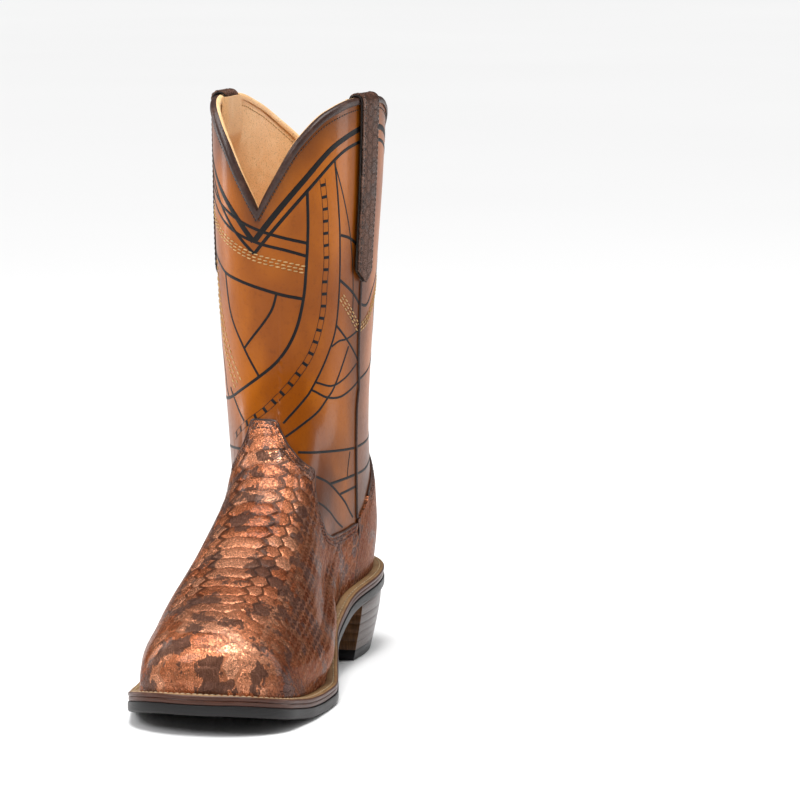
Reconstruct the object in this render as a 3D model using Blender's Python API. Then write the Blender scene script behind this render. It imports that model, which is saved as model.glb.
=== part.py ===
"""A western boot for the right foot: lasted uppers, pull-on shaft and a stacked leather heel.

The frame: +Z up, the toe points along -Y, and +X is the inner side of the foot. The floor is z = 0.
All sizes are in metres. The upper is one smooth body, called the last here, and each leather or
lining is a shell at its own distance from that body. A column runs up the last from the feather
edge, where the upper meets the welt, to the top of the shaft. Columns are numbered by a turn from
-1 to 1: 0 is the middle of the toe and of the shaft's front, 1 and -1 are the middle of the heel,
positive turns are the inner side and negative turns the outer side.
"""

import math

import bmesh
import bpy
import numpy as np

# ---------------------------------------------------------------- driving dimensions
BOOT_LENGTH = 0.310
WELT_OVERHANG = 0.0066

OUTSOLE_THICKNESS = 0.0060
MIDSOLE_THICKNESS = 0.0022
WELT_THICKNESS = 0.0026
INSOLE_THICKNESS = 0.0030
SOCK_THICKNESS = 0.0014
GAP = 0.0003

# Distances of the layers' inner and outer faces from the last.
LINING = (-0.0032, -0.0021)
PUFF = (-0.0010, 0.0000)
SHAFT = (-0.0009, 0.0007)
COVER = (0.0014, 0.0030)
LASTING_MARGIN = 0.009

# The last's own middle plane stands this far to the inner side of the whole boot's middle.
MIDDLE_X = 0.0013

TOE_Y = -BOOT_LENGTH / 2 + WELT_OVERHANG + COVER[1]
HEEL_Y = BOOT_LENGTH / 2 - WELT_OVERHANG - COVER[1]
FOOT_TAPER_Y = 0.050
FOOT_END_Y = 0.105
ANKLE_Z = 0.160
SKIN_TOP_Z = 0.350
ANKLE_CORE = (0.070, 0.076)
CORE_ABOVE_FEATHER = 0.012
INSTEP_BLEND = 0.022

# The side seam: height, turn. It stands nearly upright, across the slanting columns.
SIDE_SEAM = ((0.036, 0.722), (0.060, 0.700), (0.082, 0.668), (0.100, 0.630), (0.112, 0.602), (0.125, 0.566),
             (0.137, 0.528), (0.150, 0.486), (0.162, 0.461), (0.180, 0.453), (0.210, 0.450), (0.350, 0.450))
# The upper pieces' top edges on the inner side: turn, height. The outer side is the same.
TOPLINE = ((0.000, 0.2630), (0.070, 0.2850), (0.140, 0.3045), (0.242, 0.3195), (0.360, 0.3255), (0.450, 0.3265),
           (0.560, 0.3255), (0.670, 0.3195), (0.790, 0.3065), (0.900, 0.2900), (1.000, 0.2700))
VAMP_TOP = ((0.000, 0.1455), (0.052, 0.1455), (0.068, 0.1400), (0.100, 0.1320), (0.150, 0.1250), (0.200, 0.1205),
            (0.245, 0.1180), (0.262, 0.1080), (0.292, 0.1000), (0.340, 0.0905), (0.420, 0.0815), (0.500, 0.0780),
            (0.600, 0.0785), (0.690, 0.0820))
COUNTER_TOP = ((0.640, 0.0790), (0.690, 0.0860), (0.740, 0.0985), (0.820, 0.1130), (0.910, 0.1230), (1.000, 0.1280))
UNDERLAP = 0.012
LINING_SPLIT_Z = 0.122
SEAM_GAP = 0.00018
LINING_SEAM_GAP = 0.0019

# The binding's folded section in millimetres: distance from the last, height over the topline.
BINDING = ((1.10, -2.0), (1.65, -2.0), (1.75, 0.6), (0.60, 2.0), (-2.80, 2.0), (-4.20, 0.8),
           (-4.15, -2.0), (-3.75, -2.0), (-3.75, 1.0), (1.10, 0.7))
STRAP_TURN = 0.450
STRAP_WIDTH = 0.0235
STRAP_TIP_Z = 0.2215
STRAP_POINT = 0.0075
STRAP_OUTSIDE, STRAP_INSIDE = 0.0021, -0.0047
STRAP_ARCH_Z = 0.3262
STRAP_ARCH = 0.0032
STRAP_INSIDE_Z = 0.3040
STRAP_BACKING = (0.0, 0.0008)
STRAP_FACE = (0.0011, 0.0022)

HEEL_BREAST_Y = 0.064
HEEL_INSET = 0.0012
HEEL_TAPER = (0.15, 0.13)
HEEL_LIFTS = 5
TOP_LIFT_THICKNESS = 0.0060
LIFT_GAP = 0.00015
NAIL_RADIUS = 0.0011
NAIL_HOLE = 0.0015
NAILS = ((0.000, 0.082), (0.014, 0.092), (-0.014, 0.092), (0.012, 0.118), (-0.012, 0.118))
SHANK_Y = (-0.030, 0.112)
SHANK_WIDTH = 0.014
SHANK_THICKNESS = 0.0014
FILLER_END_Y = -0.034

# Plan widths of the foot at the feather edge: y, outer half width, inner half width.
BULGE_HEIGHT = 0.030
FOOT_BULGES = (  # y, outer and inner bulge over the welt
    (-0.130, 0.0005, 0.0010),
    (-0.090, 0.0015, 0.0030),
    (-0.050, 0.0020, 0.0050),
    (-0.010, 0.0025, 0.0062),
    (0.025, 0.0012, 0.0020),
    (0.045, 0.0000, 0.0000),
)
FOOT_WIDTHS = (
    (-0.150, 0.0350, 0.0350),
    (-0.125, 0.0370, 0.0375),
    (-0.095, 0.0435, 0.0425),
    (-0.062, 0.0465, 0.0440),
    (-0.025, 0.0420, 0.0365),
    (0.015, 0.0345, 0.0285),
    (0.055, 0.0310, 0.0285),
    (0.100, 0.0310, 0.0300),
)
# The foot's ridge, from the toe box over the instep: y, height.
RIDGE = (
    (-0.150, 0.053),
    (-0.128, 0.055),
    (-0.105, 0.060),
    (-0.075, 0.070),
    (-0.045, 0.084),
    (-0.015, 0.103),
    (0.010, 0.124),
    (0.030, 0.145),
    (0.060, 0.150),
    (0.110, 0.150),
)
TOE_CORNER = 0.027
TOE_CORNER_GROWTH = 0.016
TOE_ROUNDNESS = 2.6
FOOT_ROUNDNESS = 2.35

# The shaft's level sections: height, half width, front y, back y, middle x.
SHAFT_SECTIONS = (
    (0.030, 0.0285, 0.062, HEEL_Y - 0.0030, 0.0000),
    (0.048, 0.0305, 0.056, HEEL_Y - 0.0005, 0.0000),
    (0.070, 0.0335, 0.048, HEEL_Y, 0.0000),
    (0.093, 0.0350, 0.040, 0.1400, -0.0010),
    (0.115, 0.0362, 0.036, 0.1340, -0.0025),
    (0.135, 0.0375, 0.034, 0.1315, -0.0035),
    (0.160, 0.0388, 0.031, 0.1325, -0.0040),
    (0.195, 0.0405, 0.026, 0.1365, -0.0040),
    (0.240, 0.0425, 0.020, 0.1420, -0.0035),
    (0.285, 0.0440, 0.015, 0.1465, -0.0025),
    (0.325, 0.0448, 0.012, 0.1490, -0.0020),
    (0.360, 0.0450, 0.011, 0.1500, -0.0020),
)
SHAFT_ROUNDNESS = 2.15
# The shaft faces a little to the outer side.
SHAFT_FACING = math.radians(-7)

# The outsole's underside: y, height above the floor.
UNDERSIDE = (
    (-0.152, 0.0110),
    (-0.125, 0.0052),
    (-0.100, 0.0013),
    (-0.078, 0.0000),
    (-0.055, 0.0000),
    (-0.030, 0.0045),
    (0.000, 0.0150),
    (0.030, 0.0262),
    (0.058, 0.0325),
    (0.090, 0.0350),
    (0.152, 0.0378),
)


def smooth_curve(points, column=1):
    """A smooth function through the points that never overshoots them."""
    table = np.asarray(points, float)
    x, y = table[:, 0], table[:, column]
    step = np.diff(x)
    slope = np.diff(y) / step
    mid = np.zeros_like(y)
    same_way = slope[:-1] * slope[1:] > 0
    weight = (2 * step[1:] + step[:-1]) / (3 * (step[1:] + step[:-1]))
    safe = np.where(same_way, slope[1:] * weight + slope[:-1] * (1 - weight), 1.0)
    mid[1:-1] = np.where(same_way, slope[:-1] * slope[1:] / safe, 0.0)
    mid[0], mid[-1] = slope[0], slope[-1]

    def value(at):
        at = np.clip(np.asarray(at, float), x[0], x[-1])
        k = np.clip(np.searchsorted(x, at, side="right") - 1, 0, len(x) - 2)
        t = (at - x[k]) / step[k]
        rise = (3 - 2 * t) * t * t
        return (
            y[k] * (1 - rise)
            + y[k + 1] * rise
            + step[k] * (mid[k] * t * (1 - t) ** 2 - mid[k + 1] * t * t * (1 - t))
        )

    return value


underside = smooth_curve(UNDERSIDE)
outer_width = smooth_curve(FOOT_WIDTHS, 1)
inner_width = smooth_curve(FOOT_WIDTHS, 2)
outer_bulge = smooth_curve(FOOT_BULGES, 1)
inner_bulge = smooth_curve(FOOT_BULGES, 2)
ridge_height = smooth_curve(RIDGE)
section_width = smooth_curve(SHAFT_SECTIONS, 1)
section_front = smooth_curve(SHAFT_SECTIONS, 2)
section_back = smooth_curve(SHAFT_SECTIONS, 3)
section_middle = smooth_curve(SHAFT_SECTIONS, 4)

MIDSOLE_BOTTOM = OUTSOLE_THICKNESS + GAP
WELT_BOTTOM = MIDSOLE_BOTTOM + MIDSOLE_THICKNESS + GAP
FEATHER_ABOVE_UNDERSIDE = WELT_BOTTOM + COVER[1]


def feather_height(y):
    """Height of the last's bottom edge."""
    return underside(y) + FEATHER_ABOVE_UNDERSIDE


def foot_distance(x, y, z):
    """Rough distance outside the foot, which ends inside the heel of the shaft."""
    floor = feather_height(y)
    up = np.maximum(z - floor, 0)
    height = np.maximum(ridge_height(y) - floor, 0.02)
    width = np.where(x > 0, inner_width(y), outer_width(y))
    rise = np.clip((up - 0.002) / BULGE_HEIGHT, 0, 1)
    width = width + np.where(x > 0, inner_bulge(y), outer_bulge(y)) * 16 * rise**2 * (1 - rise) ** 2
    corner = TOE_CORNER + TOE_CORNER_GROWTH * np.clip(up / height, 0, 1) ** 2
    ahead = np.maximum((TOE_Y + corner - y) / corner, 0)
    behind = np.maximum((y - FOOT_TAPER_Y) / (FOOT_END_Y - FOOT_TAPER_Y), 0)
    size = (np.abs(x) / width) ** FOOT_ROUNDNESS + (up / height) ** FOOT_ROUNDNESS
    size = size + ahead**TOE_ROUNDNESS + behind**2
    return (size ** (1 / FOOT_ROUNDNESS) - 1) * np.minimum(width, height)


def shaft_middle(z):
    """The middle of the shaft's level section: x and y."""
    return section_middle(z), (section_back(z) + section_front(z)) / 2


def shaft_distance(x, y, z):
    """Rough distance outside the heel and shaft."""
    depth, width = (section_back(z) - section_front(z)) / 2, section_width(z)
    middle_x, middle_y = shaft_middle(z)
    facing = SHAFT_FACING * np.clip((z - 0.06) / 0.10, 0, 1)
    east, north = x - middle_x, y - middle_y
    across = np.abs(east * np.cos(facing) + north * np.sin(facing))
    along = np.abs(north * np.cos(facing) - east * np.sin(facing))
    size = (across / width) ** SHAFT_ROUNDNESS + (along / depth) ** SHAFT_ROUNDNESS
    return (size ** (1 / SHAFT_ROUNDNESS) - 1) * width


def last_distance(points):
    """Rough distance outside the last: the foot and the shaft run smoothly into each other."""
    x, y, z = points[..., 0], points[..., 1], points[..., 2]
    foot, shaft = foot_distance(x, y, z), shaft_distance(x, y, z)
    share = np.clip(0.5 + 0.5 * (shaft - foot) / INSTEP_BLEND, 0, 1)
    return shaft + (foot - shaft) * share - INSTEP_BLEND * share * (1 - share)


def last_normal(points):
    """Unit vectors out of the last."""
    step = 2e-5
    shifts = np.eye(3) * step
    slope = np.stack([last_distance(points + s) - last_distance(points - s) for s in shifts], -1)
    return slope / np.linalg.norm(slope, axis=-1, keepdims=True)


def cast(core, aim):
    """Where the lines from core through aim leave the last."""
    low, high = np.zeros(core.shape[:-1]), np.full(core.shape[:-1], 4.0)
    for _ in range(34):
        middle = (low + high) / 2
        inside = last_distance(core + (aim - core) * middle[..., None]) < 0
        low, high = np.where(inside, middle, low), np.where(inside, high, middle)
    return core + (aim - core) * low[..., None]


def by_length(points, shares):
    """Points at these shares of a polyline's length."""
    run = np.concatenate([[0], np.cumsum(np.linalg.norm(np.diff(points, axis=0), axis=1))])
    return np.stack([np.interp(np.asarray(shares) * run[-1], run, points[:, k]) for k in range(3)], -1)


def feather_side(side):
    """The feather edge from the toe's tip to the heel's middle, as a dense polyline."""
    angle = np.linspace(0, math.pi, 361)
    middle, half = (TOE_Y + HEEL_Y) / 2, (HEEL_Y - TOE_Y) / 2
    y = middle - half * np.cos(angle) * (1 - 1e-6)
    z = feather_height(y)
    core = np.stack([np.zeros_like(y), y, z], -1)
    return cast(core, core + [side * 0.02, 0, 0])


FEATHER = {side: feather_side(side) for side in (-1, 1)}


def feather_point(turn):
    """Points of the feather edge at these turns, and the plan directions out of it."""
    turn = np.atleast_1d(np.asarray(turn, float))
    side = np.where(turn < 0, -1, 1)
    reach = 0.004
    at, ahead, behind = (
        np.where(
            (side > 0)[:, None],
            by_length(FEATHER[1], np.clip(np.abs(turn) + d, 0, 1)),
            by_length(FEATHER[-1], np.clip(np.abs(turn) + d, 0, 1)),
        )
        for d in (0, reach, -reach)
    )
    along = (ahead - behind)[:, :2] * side[:, None]
    along[np.abs(turn) < reach] = (1, 0)
    along[np.abs(turn) > 1 - reach] = (-1, 0)
    out = np.stack([along[:, 1], -along[:, 0], np.zeros(len(turn))], -1)
    return at, out / np.linalg.norm(out, axis=1, keepdims=True)


def section_points(turn, z):
    """Points of the shaft's level section at height z."""
    angle = np.linspace(0, math.pi, 181)
    power = 2 / SHAFT_ROUNDNESS
    x = section_width(z) * np.abs(np.sin(angle)) ** power
    depth = (section_back(z) - section_front(z)) / 2
    y = -depth * np.sign(np.cos(angle)) * np.abs(np.cos(angle)) ** power
    found = by_length(np.stack([x, y, np.full_like(x, z)], -1), np.abs(turn))
    found[:, 0] *= np.sign(turn)
    east, north = found[:, 0].copy(), found[:, 1].copy()
    middle_x, middle_y = shaft_middle(z)
    found[:, 0] = middle_x + east * np.cos(SHAFT_FACING) - north * np.sin(SHAFT_FACING)
    found[:, 1] = middle_y + east * np.sin(SHAFT_FACING) + north * np.cos(SHAFT_FACING)
    return found


def columns(turn, foot_steps=90, shaft_steps=48):
    """Dense points up the last for each turn, as an array of turns, points and coordinates."""
    turn = np.atleast_1d(np.asarray(turn, float))
    start, _ = feather_point(turn)
    end = section_points(turn, ANKLE_Z)
    core_y = np.clip(start[:, 1], TOE_Y + 0.030, 0.095)
    first = np.stack([np.zeros_like(core_y), core_y, feather_height(core_y) + CORE_ABOVE_FEATHER], -1)
    bend = np.array([0, *ANKLE_CORE])
    last = np.array([*shaft_middle(ANKLE_Z), ANKLE_Z])
    t = (np.linspace(0, 1, foot_steps) ** 1.25)[None, :, None]
    core = first[:, None] * (1 - t) ** 2 + bend * 2 * t * (1 - t) + last * t * t
    foot = cast(core, start[:, None] * (1 - t) + end[:, None] * t)
    foot[:, 0] = start
    levels = np.linspace(ANKLE_Z, SKIN_TOP_Z, shaft_steps)[1:]
    shaft = np.stack([section_points(turn, z) for z in levels], 1)
    core = np.broadcast_to(np.stack([*shaft_middle(levels), levels], -1), shaft.shape)
    return np.concatenate([foot, cast(core, shaft)], 1)


TURNS = np.linspace(-1, 1, 241)
TABLE = columns(TURNS)
RUNS = np.concatenate(
    [np.zeros((len(TURNS), 1)), np.cumsum(np.linalg.norm(np.diff(TABLE, axis=1), axis=2), axis=1)], 1
)


def wrapped(turn):
    """The same turn, between -1 and 1."""
    return (turn + 1) % 2 - 1


def beside(turn):
    """The table's column before each turn, and the share of the step past it."""
    place = (wrapped(turn) + 1) / 2 * (len(TURNS) - 1)
    first = np.clip(np.floor(place).astype(int), 0, len(TURNS) - 2)
    return first, place - first


def run_at(turn, z):
    """Length up the column from the feather edge to these heights."""
    first, share = beside(turn)
    found = np.empty(np.shape(turn))
    for i in np.ndindex(found.shape):
        low, high = (np.interp(z[i], TABLE[k, :, 2], RUNS[k]) for k in (first[i], first[i] + 1))
        found[i] = low + (high - low) * share[i]
    return found


def at_run(turn, run):
    """Points of the last at these turns and lengths up the column."""
    first, share = beside(turn)
    found = np.empty((*np.shape(turn), 3))
    for i in np.ndindex(np.shape(turn)):
        low, high = (
            np.array([np.interp(run[i], RUNS[k], TABLE[k, :, axis]) for axis in range(3)])
            for k in (first[i], first[i] + 1)
        )
        found[i] = low + (high - low) * share[i]
    return found


def at_height(turn, z):
    """Points of the last at these turns and heights."""
    turn, z = np.broadcast_arrays(np.asarray(turn, float), np.asarray(z, float))
    return at_run(turn, run_at(turn, z))


seam_turn = smooth_curve(SIDE_SEAM)


def edge_curve(points):
    """A top edge, the same on both sides of the boot."""
    curve = smooth_curve(points)
    return lambda turn: curve(np.abs(wrapped(turn)))


topline, vamp_top, counter_top = (edge_curve(p) for p in (TOPLINE, VAMP_TOP, COUNTER_TOP))


def feather_z(turn):
    """Height of the feather edge at these turns."""
    return feather_point(wrapped(turn))[0][:, 2]


# ---------------------------------------------------------------- making meshes
def material(name, colour, roughness, metallic=0.0):
    """A plain material in the piece's own colour."""
    made = bpy.data.materials.new(name)
    made.use_nodes = True
    shader = made.node_tree.nodes["Principled BSDF"]
    shader.inputs["Base Color"].default_value = (*colour, 1)
    shader.inputs["Roughness"].default_value = roughness
    shader.inputs["Metallic"].default_value = metallic
    return made


def solid(name, points, faces, look):
    """One object from points and faces, with its normals facing out."""
    mesh = bpy.data.meshes.new(name)
    mesh.from_pydata([(float(x) + MIDDLE_X, float(y), float(z)) for x, y, z in points], [], faces)
    mesh.validate()
    shape = bmesh.new()
    shape.from_mesh(mesh)
    bmesh.ops.remove_doubles(shape, verts=shape.verts, dist=1e-7)
    bmesh.ops.recalc_face_normals(shape, faces=shape.faces)
    bmesh.ops.triangulate(shape, faces=shape.faces)
    if shape.calc_volume(signed=True) < 0:
        bmesh.ops.reverse_faces(shape, faces=shape.faces)
    shape.to_mesh(mesh)
    shape.free()
    mesh.shade_smooth()
    mesh.set_sharp_from_angle(angle=math.radians(40))
    mesh.materials.append(material(name, *look))
    made = bpy.data.objects.new(name, mesh)
    bpy.context.collection.objects.link(made)
    return made


def sheet(name, inner, outer, look):
    """A closed body between two grids of points."""
    rows, cols = inner.shape[:2]
    index = np.arange(rows * cols).reshape(rows, cols)
    back = index + rows * cols
    faces = []
    for i in range(rows - 1):
        for j in range(cols - 1):
            corner = ((i, j), (i + 1, j), (i + 1, j + 1), (i, j + 1))
            faces.append([int(index[c]) for c in corner])
            faces.append([int(back[c]) for c in reversed(corner)])
    rim = [(i, 0) for i in range(rows)] + [(rows - 1, j) for j in range(1, cols)]
    rim += [(i, cols - 1) for i in range(rows - 2, -1, -1)] + [(0, j) for j in range(cols - 2, 0, -1)]
    for a, b in zip(rim, rim[1:] + rim[:1]):
        faces.append([int(index[a]), int(back[a]), int(back[b]), int(index[b])])
    return solid(name, np.concatenate([inner.reshape(-1, 3), outer.reshape(-1, 3)]), faces, look)


def tube(name, sections, look, closed=False):
    """A closed body through equal rings of points, with flat ends unless it closes on itself."""
    count, around = sections.shape[:2]
    index = np.arange(count * around).reshape(count, around)
    faces = []
    for i in range(count if closed else count - 1):
        here, there = index[i], index[(i + 1) % count]
        for j in range(around):
            k = (j + 1) % around
            faces.append([int(here[j]), int(here[k]), int(there[k]), int(there[j])])
    if not closed:
        faces += [[int(v) for v in index[0]][::-1], [int(v) for v in index[-1]]]
    return solid(name, sections.reshape(-1, 3), faces, look)


def plate(name, left, right, low, high, look):
    """A plate between two edges given as matching x, y points, with heights low and high over it."""
    pairs = np.stack([left, right], 1)
    flat = pairs.reshape(-1, 2)
    top = np.column_stack([flat, high(flat[:, 1])])
    bottom = np.column_stack([flat, low(flat[:, 1])])
    count = len(flat)
    faces = []
    for i in range(len(pairs) - 1):
        a, b, c, d = 2 * i, 2 * i + 1, 2 * i + 3, 2 * i + 2
        faces += [[a, b, c, d], [count + d, count + c, count + b, count + a]]
        faces += [[a, d, count + d, count + a], [c, b, count + b, count + c]]
    ends = ((0, 1), (count - 1, count - 2))
    for a, b in ends:
        if np.linalg.norm(flat[a] - flat[b]) > 1e-6:
            faces.append([b, a, count + a, count + b])
    return solid(name, np.concatenate([top, bottom]), faces, look)


# ---------------------------------------------------------------- the upper
def patch(sides, low, high, columns_across, rows, gather=1.0):
    """Points on the last in a four-sided patch. sides gives each side's turn at its heights there."""
    share = np.linspace(0, 1, rows) ** gather
    ends = []
    for side in sides:
        turn = np.full(rows, float(side(0.1)))
        for _ in range(12):
            first, last = (run_at(turn, f(turn)) for f in (low, high))
            turn = side(at_run(turn, first + (last - first) * share)[:, 2])
        ends.append(turn[:, None])
    across = np.linspace(0, 1, columns_across)[None]
    turn = ends[0] + (ends[1] - ends[0]) * across
    first, last = (run_at(turn, f(turn.reshape(-1)).reshape(turn.shape)) for f in (low, high))
    return at_run(turn, first + (last - first) * share[:, None])


def shell(name, points, faces, look, under=False):
    """A shell between two distances from the last. under turns its lower edge in below the last."""
    out = last_normal(points)
    grids = []
    for distance in faces:
        grid = points + out * distance
        if under:
            outward = out[0] * [1, 1, 0]
            outward /= np.linalg.norm(outward, axis=1, keepdims=True)
            turned = np.stack([points[0] - outward * LASTING_MARGIN, points[0]])
            turned[..., 2] = feather_height(turned[..., 1]) - distance
            grid = np.concatenate([turned, grid])
        grids.append(grid)
    return sheet(name, *grids, look)


def to_seams(gap=SEAM_GAP):
    """The sides of a front patch that ends at the two side seams."""
    return lambda z: -seam_turn(z) + gap / 0.19, lambda z: seam_turn(z) - gap / 0.19


def from_seams(gap=SEAM_GAP):
    """The sides of a back patch that starts at the two side seams."""
    return lambda z: seam_turn(z) + gap / 0.19, lambda z: 2 - seam_turn(z) - gap / 0.19


def upright(start, end):
    """The sides of a patch between two columns."""
    return lambda z: start + 0 * z, lambda z: end + 0 * z


PYTHON = ((0.40, 0.16, 0.08), 0.35, 0.5)
COGNAC = ((0.38, 0.095, 0.012), 0.30)
DARK_TRIM = ((0.035, 0.020, 0.015), 0.45)
LINING_LOOK = ((0.72, 0.38, 0.15), 0.6)
BOARD = ((0.45, 0.33, 0.20), 0.8)
EDGE_BROWN = ((0.07, 0.03, 0.018), 0.5)
BLACK_SOLE = ((0.012, 0.011, 0.012), 0.5)
HEEL_LEATHER = ((0.06, 0.032, 0.022), 0.45)
WELT_TAN = ((0.40, 0.22, 0.08), 0.6)
CORK = ((0.35, 0.20, 0.10), 0.9)
STEEL = ((0.5, 0.5, 0.5), 0.35, 1.0)


def build_upper():
    """The vamp, the counter cover and the two shaft panels."""
    vamp = patch(to_seams(), feather_z, vamp_top, 45, 16, 1.3)
    shell("vamp", vamp, COVER, PYTHON, under=True)
    counter = patch(from_seams(), feather_z, counter_top, 23, 7)
    shell("heel_counter_cover", counter, COVER, PYTHON, under=True)
    front = patch(to_seams(), lambda t: vamp_top(t) - UNDERLAP, topline, 23, 14)
    shell("shaft_front_panel", front, SHAFT, COGNAC)
    back = patch(from_seams(), lambda t: counter_top(t) - UNDERLAP, topline, 23, 14)
    shell("shaft_back_panel", back, SHAFT, COGNAC)


def build_lining():
    """The foot's lining and the shaft's two lining panels."""
    foot = patch(to_seams(), feather_z, lambda t: LINING_SPLIT_Z + 0 * t, 37, 12, 1.4)
    shell("vamp_lining", foot, LINING, LINING_LOOK)
    front = patch(to_seams(LINING_SEAM_GAP), lambda t: LINING_SPLIT_Z + SEAM_GAP * 2 + 0 * t, topline, 23, 10)
    shell("shaft_lining_front", front, LINING, LINING_LOOK)
    back = patch(from_seams(LINING_SEAM_GAP), feather_z, topline, 23, 14)
    shell("shaft_lining_back", back, LINING, LINING_LOOK)


def build_stiffeners():
    """The toe puff and the heel stiffener, between the lining and the cover."""
    toe = patch(upright(-0.24, 0.24), feather_z, lambda t: 0.050 - 0.25 * t**2, 25, 5)
    shell("toe_puff", toe, PUFF, BOARD)
    top = edge_curve([(turn, z - UNDERLAP - 0.004) for turn, z in COUNTER_TOP])
    heel = patch(upright(0.74, 1.26), feather_z, top, 19, 4)
    shell("heel_stiffener", heel, PUFF, BOARD)


def build_side_piping(side, name):
    """The thin welting in one side seam, from the vamp up to the strap's tip."""
    z = np.linspace(0.0855, STRAP_TIP_Z - 0.003, 16)[:, None]
    turn = side * (seam_turn(z) + np.array([[-1, 1]]) * 0.0009 / 0.19)
    points = at_height(turn, np.broadcast_to(z, turn.shape))
    shell(name, points, (0.0010, 0.0019), DARK_TRIM)


def build_binding(name, turns):
    """The folded strip over the shaft's top edge."""
    line = at_height(turns, topline(turns))
    out = last_normal(line)
    along = np.gradient(line, axis=0)
    along /= np.linalg.norm(along, axis=1, keepdims=True)
    up = np.cross(out, along)
    up *= np.sign(up[:, 2:3])
    reach = np.ones(len(turns))
    corner = len(turns) // 2
    before = line[corner] - line[corner - 1]
    up[corner] = (0, 0, 1)
    reach[corner] = 1 / max(math.hypot(before[0], before[1]) / np.linalg.norm(before), 0.6)
    sections = np.stack(
        [line + out * d * 1e-3 + up * (h * 1e-3 * reach)[:, None] for d, h in BINDING], 1
    )
    tube(name, sections, DARK_TRIM)


def strap_route(lift):
    """Heights and distances from the last along the strap, this far from its inner face."""
    angle = np.linspace(0, math.pi, 11)[1:-1]
    middle, half = (STRAP_OUTSIDE + STRAP_INSIDE) / 2, (STRAP_OUTSIDE - STRAP_INSIDE) / 2
    outside = np.linspace(STRAP_TIP_Z, STRAP_ARCH_Z, 9)
    inside = np.linspace(STRAP_ARCH_Z, STRAP_INSIDE_Z, 3)
    z = np.concatenate([outside, STRAP_ARCH_Z + (STRAP_ARCH + lift) * np.sin(angle), inside])
    distance = np.concatenate([
        np.full(len(outside), STRAP_OUTSIDE + lift),
        middle + (half + lift) * np.cos(angle),
        np.full(len(inside), STRAP_INSIDE - lift),
    ])
    return z, distance


def build_strap(name, side, faces, width, look):
    """One layer of a pull strap: pointed below on the outside, over the topline and down inside."""
    across = np.linspace(-0.5, 0.5, 5)
    grids = []
    for lift in faces:
        z, distance = strap_route(lift)
        turn = side * STRAP_TURN + across[None] * width / 0.19 + 0 * z[:, None]
        height = z[:, None] + 0 * turn
        height[0] += STRAP_POINT * np.abs(across) * 2
        height[1] += STRAP_POINT * 0.3 * np.abs(across) * 2
        points = at_height(turn, height)
        grids.append(points + last_normal(points) * distance[:, None, None])
    sheet(name, *grids, look)


# ---------------------------------------------------------------- the bottom
STATIONS = np.concatenate([[0], np.linspace(0.022, 0.18, 8), np.linspace(0.2, 0.92, 26), [0.95, 0.98, 1.0]])


def edge_points(stations, reach):
    """Matching outer and inner side points of the sole's outline, this far out from the feather edge."""
    sides = []
    for side in (-1, 1):
        at, out = feather_point(side * stations)
        sides.append((at + out * reach)[:, :2])
    for side in sides:
        side[np.abs(stations) == 0, 0] = 0
        side[np.abs(stations) == 1, 0] = 0
    return sides


def above_underside(height):
    """A surface this far above the outsole's underside."""
    return lambda y: underside(y) + height


def stations_between(low, high, reach, count):
    """Stations whose outline runs from one y to another."""
    t = np.linspace(0, 1, 401)
    left, right = edge_points(t, reach)
    y = (left[:, 1] + right[:, 1]) / 2
    ends = np.interp([max(low, y[0]), min(high, y[-1])], y, t)
    return np.linspace(*ends, count)


def build_sole():
    """The outsole, the midsole and the stitched welt around the upper."""
    reach = COVER[1] + WELT_OVERHANG
    plates = {
        "outsole": (reach, 0, OUTSOLE_THICKNESS, BLACK_SOLE),
        "midsole": (reach - 0.0006, MIDSOLE_BOTTOM, MIDSOLE_THICKNESS, EDGE_BROWN),
    }
    for name, (out, low, thick, look) in plates.items():
        left, right = edge_points(STATIONS, out)
        made = plate(name, left, right, above_underside(low), above_underside(low + thick), look)
        nail_holes(made)
    turns = np.concatenate([STATIONS, -STATIONS[-2:0:-1]])
    at, out = feather_point(turns)
    sections = []
    for d, h in ((COVER[1] + 0.0004, 0), (reach - 0.0003, 0), (reach - 0.0003, WELT_THICKNESS - 0.0005),
                 (reach - 0.0008, WELT_THICKNESS), (COVER[1] + 0.0004, WELT_THICKNESS)):
        ring = at + out * d
        ring[:, 2] = underside(ring[:, 1]) + WELT_BOTTOM + h
        sections.append(ring)
    tube("welt", np.stack(sections, 1), WELT_TAN, closed=True)


def build_inside():
    """What the foot stands on: insole, sock, cork filler and steel shank."""
    base = FEATHER_ABOVE_UNDERSIDE - 0.0010
    layers = {
        "insole": (-0.0040, base, INSOLE_THICKNESS, BOARD),
        "sock_liner": (-0.0044, base + INSOLE_THICKNESS + GAP, SOCK_THICKNESS, LINING_LOOK),
    }
    for name, (reach, low, thick, look) in layers.items():
        left, right = edge_points(STATIONS, reach)
        plate(name, left, right, above_underside(low), above_underside(low + thick), look)
    reach = -LASTING_MARGIN - 0.0006
    stations = stations_between(-1, FILLER_END_Y, reach, 18)
    stations[0] = 0
    left, right = edge_points(stations, reach)
    top = above_underside(FEATHER_ABOVE_UNDERSIDE - 0.0012)
    plate("cork_filler", left, right, above_underside(WELT_BOTTOM + 0.0003), top, CORK)
    y = np.linspace(*SHANK_Y, 20)
    half = SHANK_WIDTH / 2
    low = WELT_BOTTOM + 0.0002
    plate("shank", np.column_stack([y * 0 - half, y]), np.column_stack([y * 0 + half, y]),
          above_underside(low), above_underside(low + SHANK_THICKNESS), STEEL)


def heel_outline(height, stations):
    """The heel's left and right edges at a height above the floor."""
    left, right = edge_points(stations, COVER[1] + WELT_OVERHANG - HEEL_INSET)
    drop = 1 - np.clip(height / underside(0.12), 0, 1)
    narrow, short = (1 - taper * drop**1.25 for taper in HEEL_TAPER)
    for side in (left, right):
        side[:, 0] *= narrow
        side[:, 1] = HEEL_BREAST_Y + (side[:, 1] - HEEL_BREAST_Y) * short
    return left, right


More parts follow.
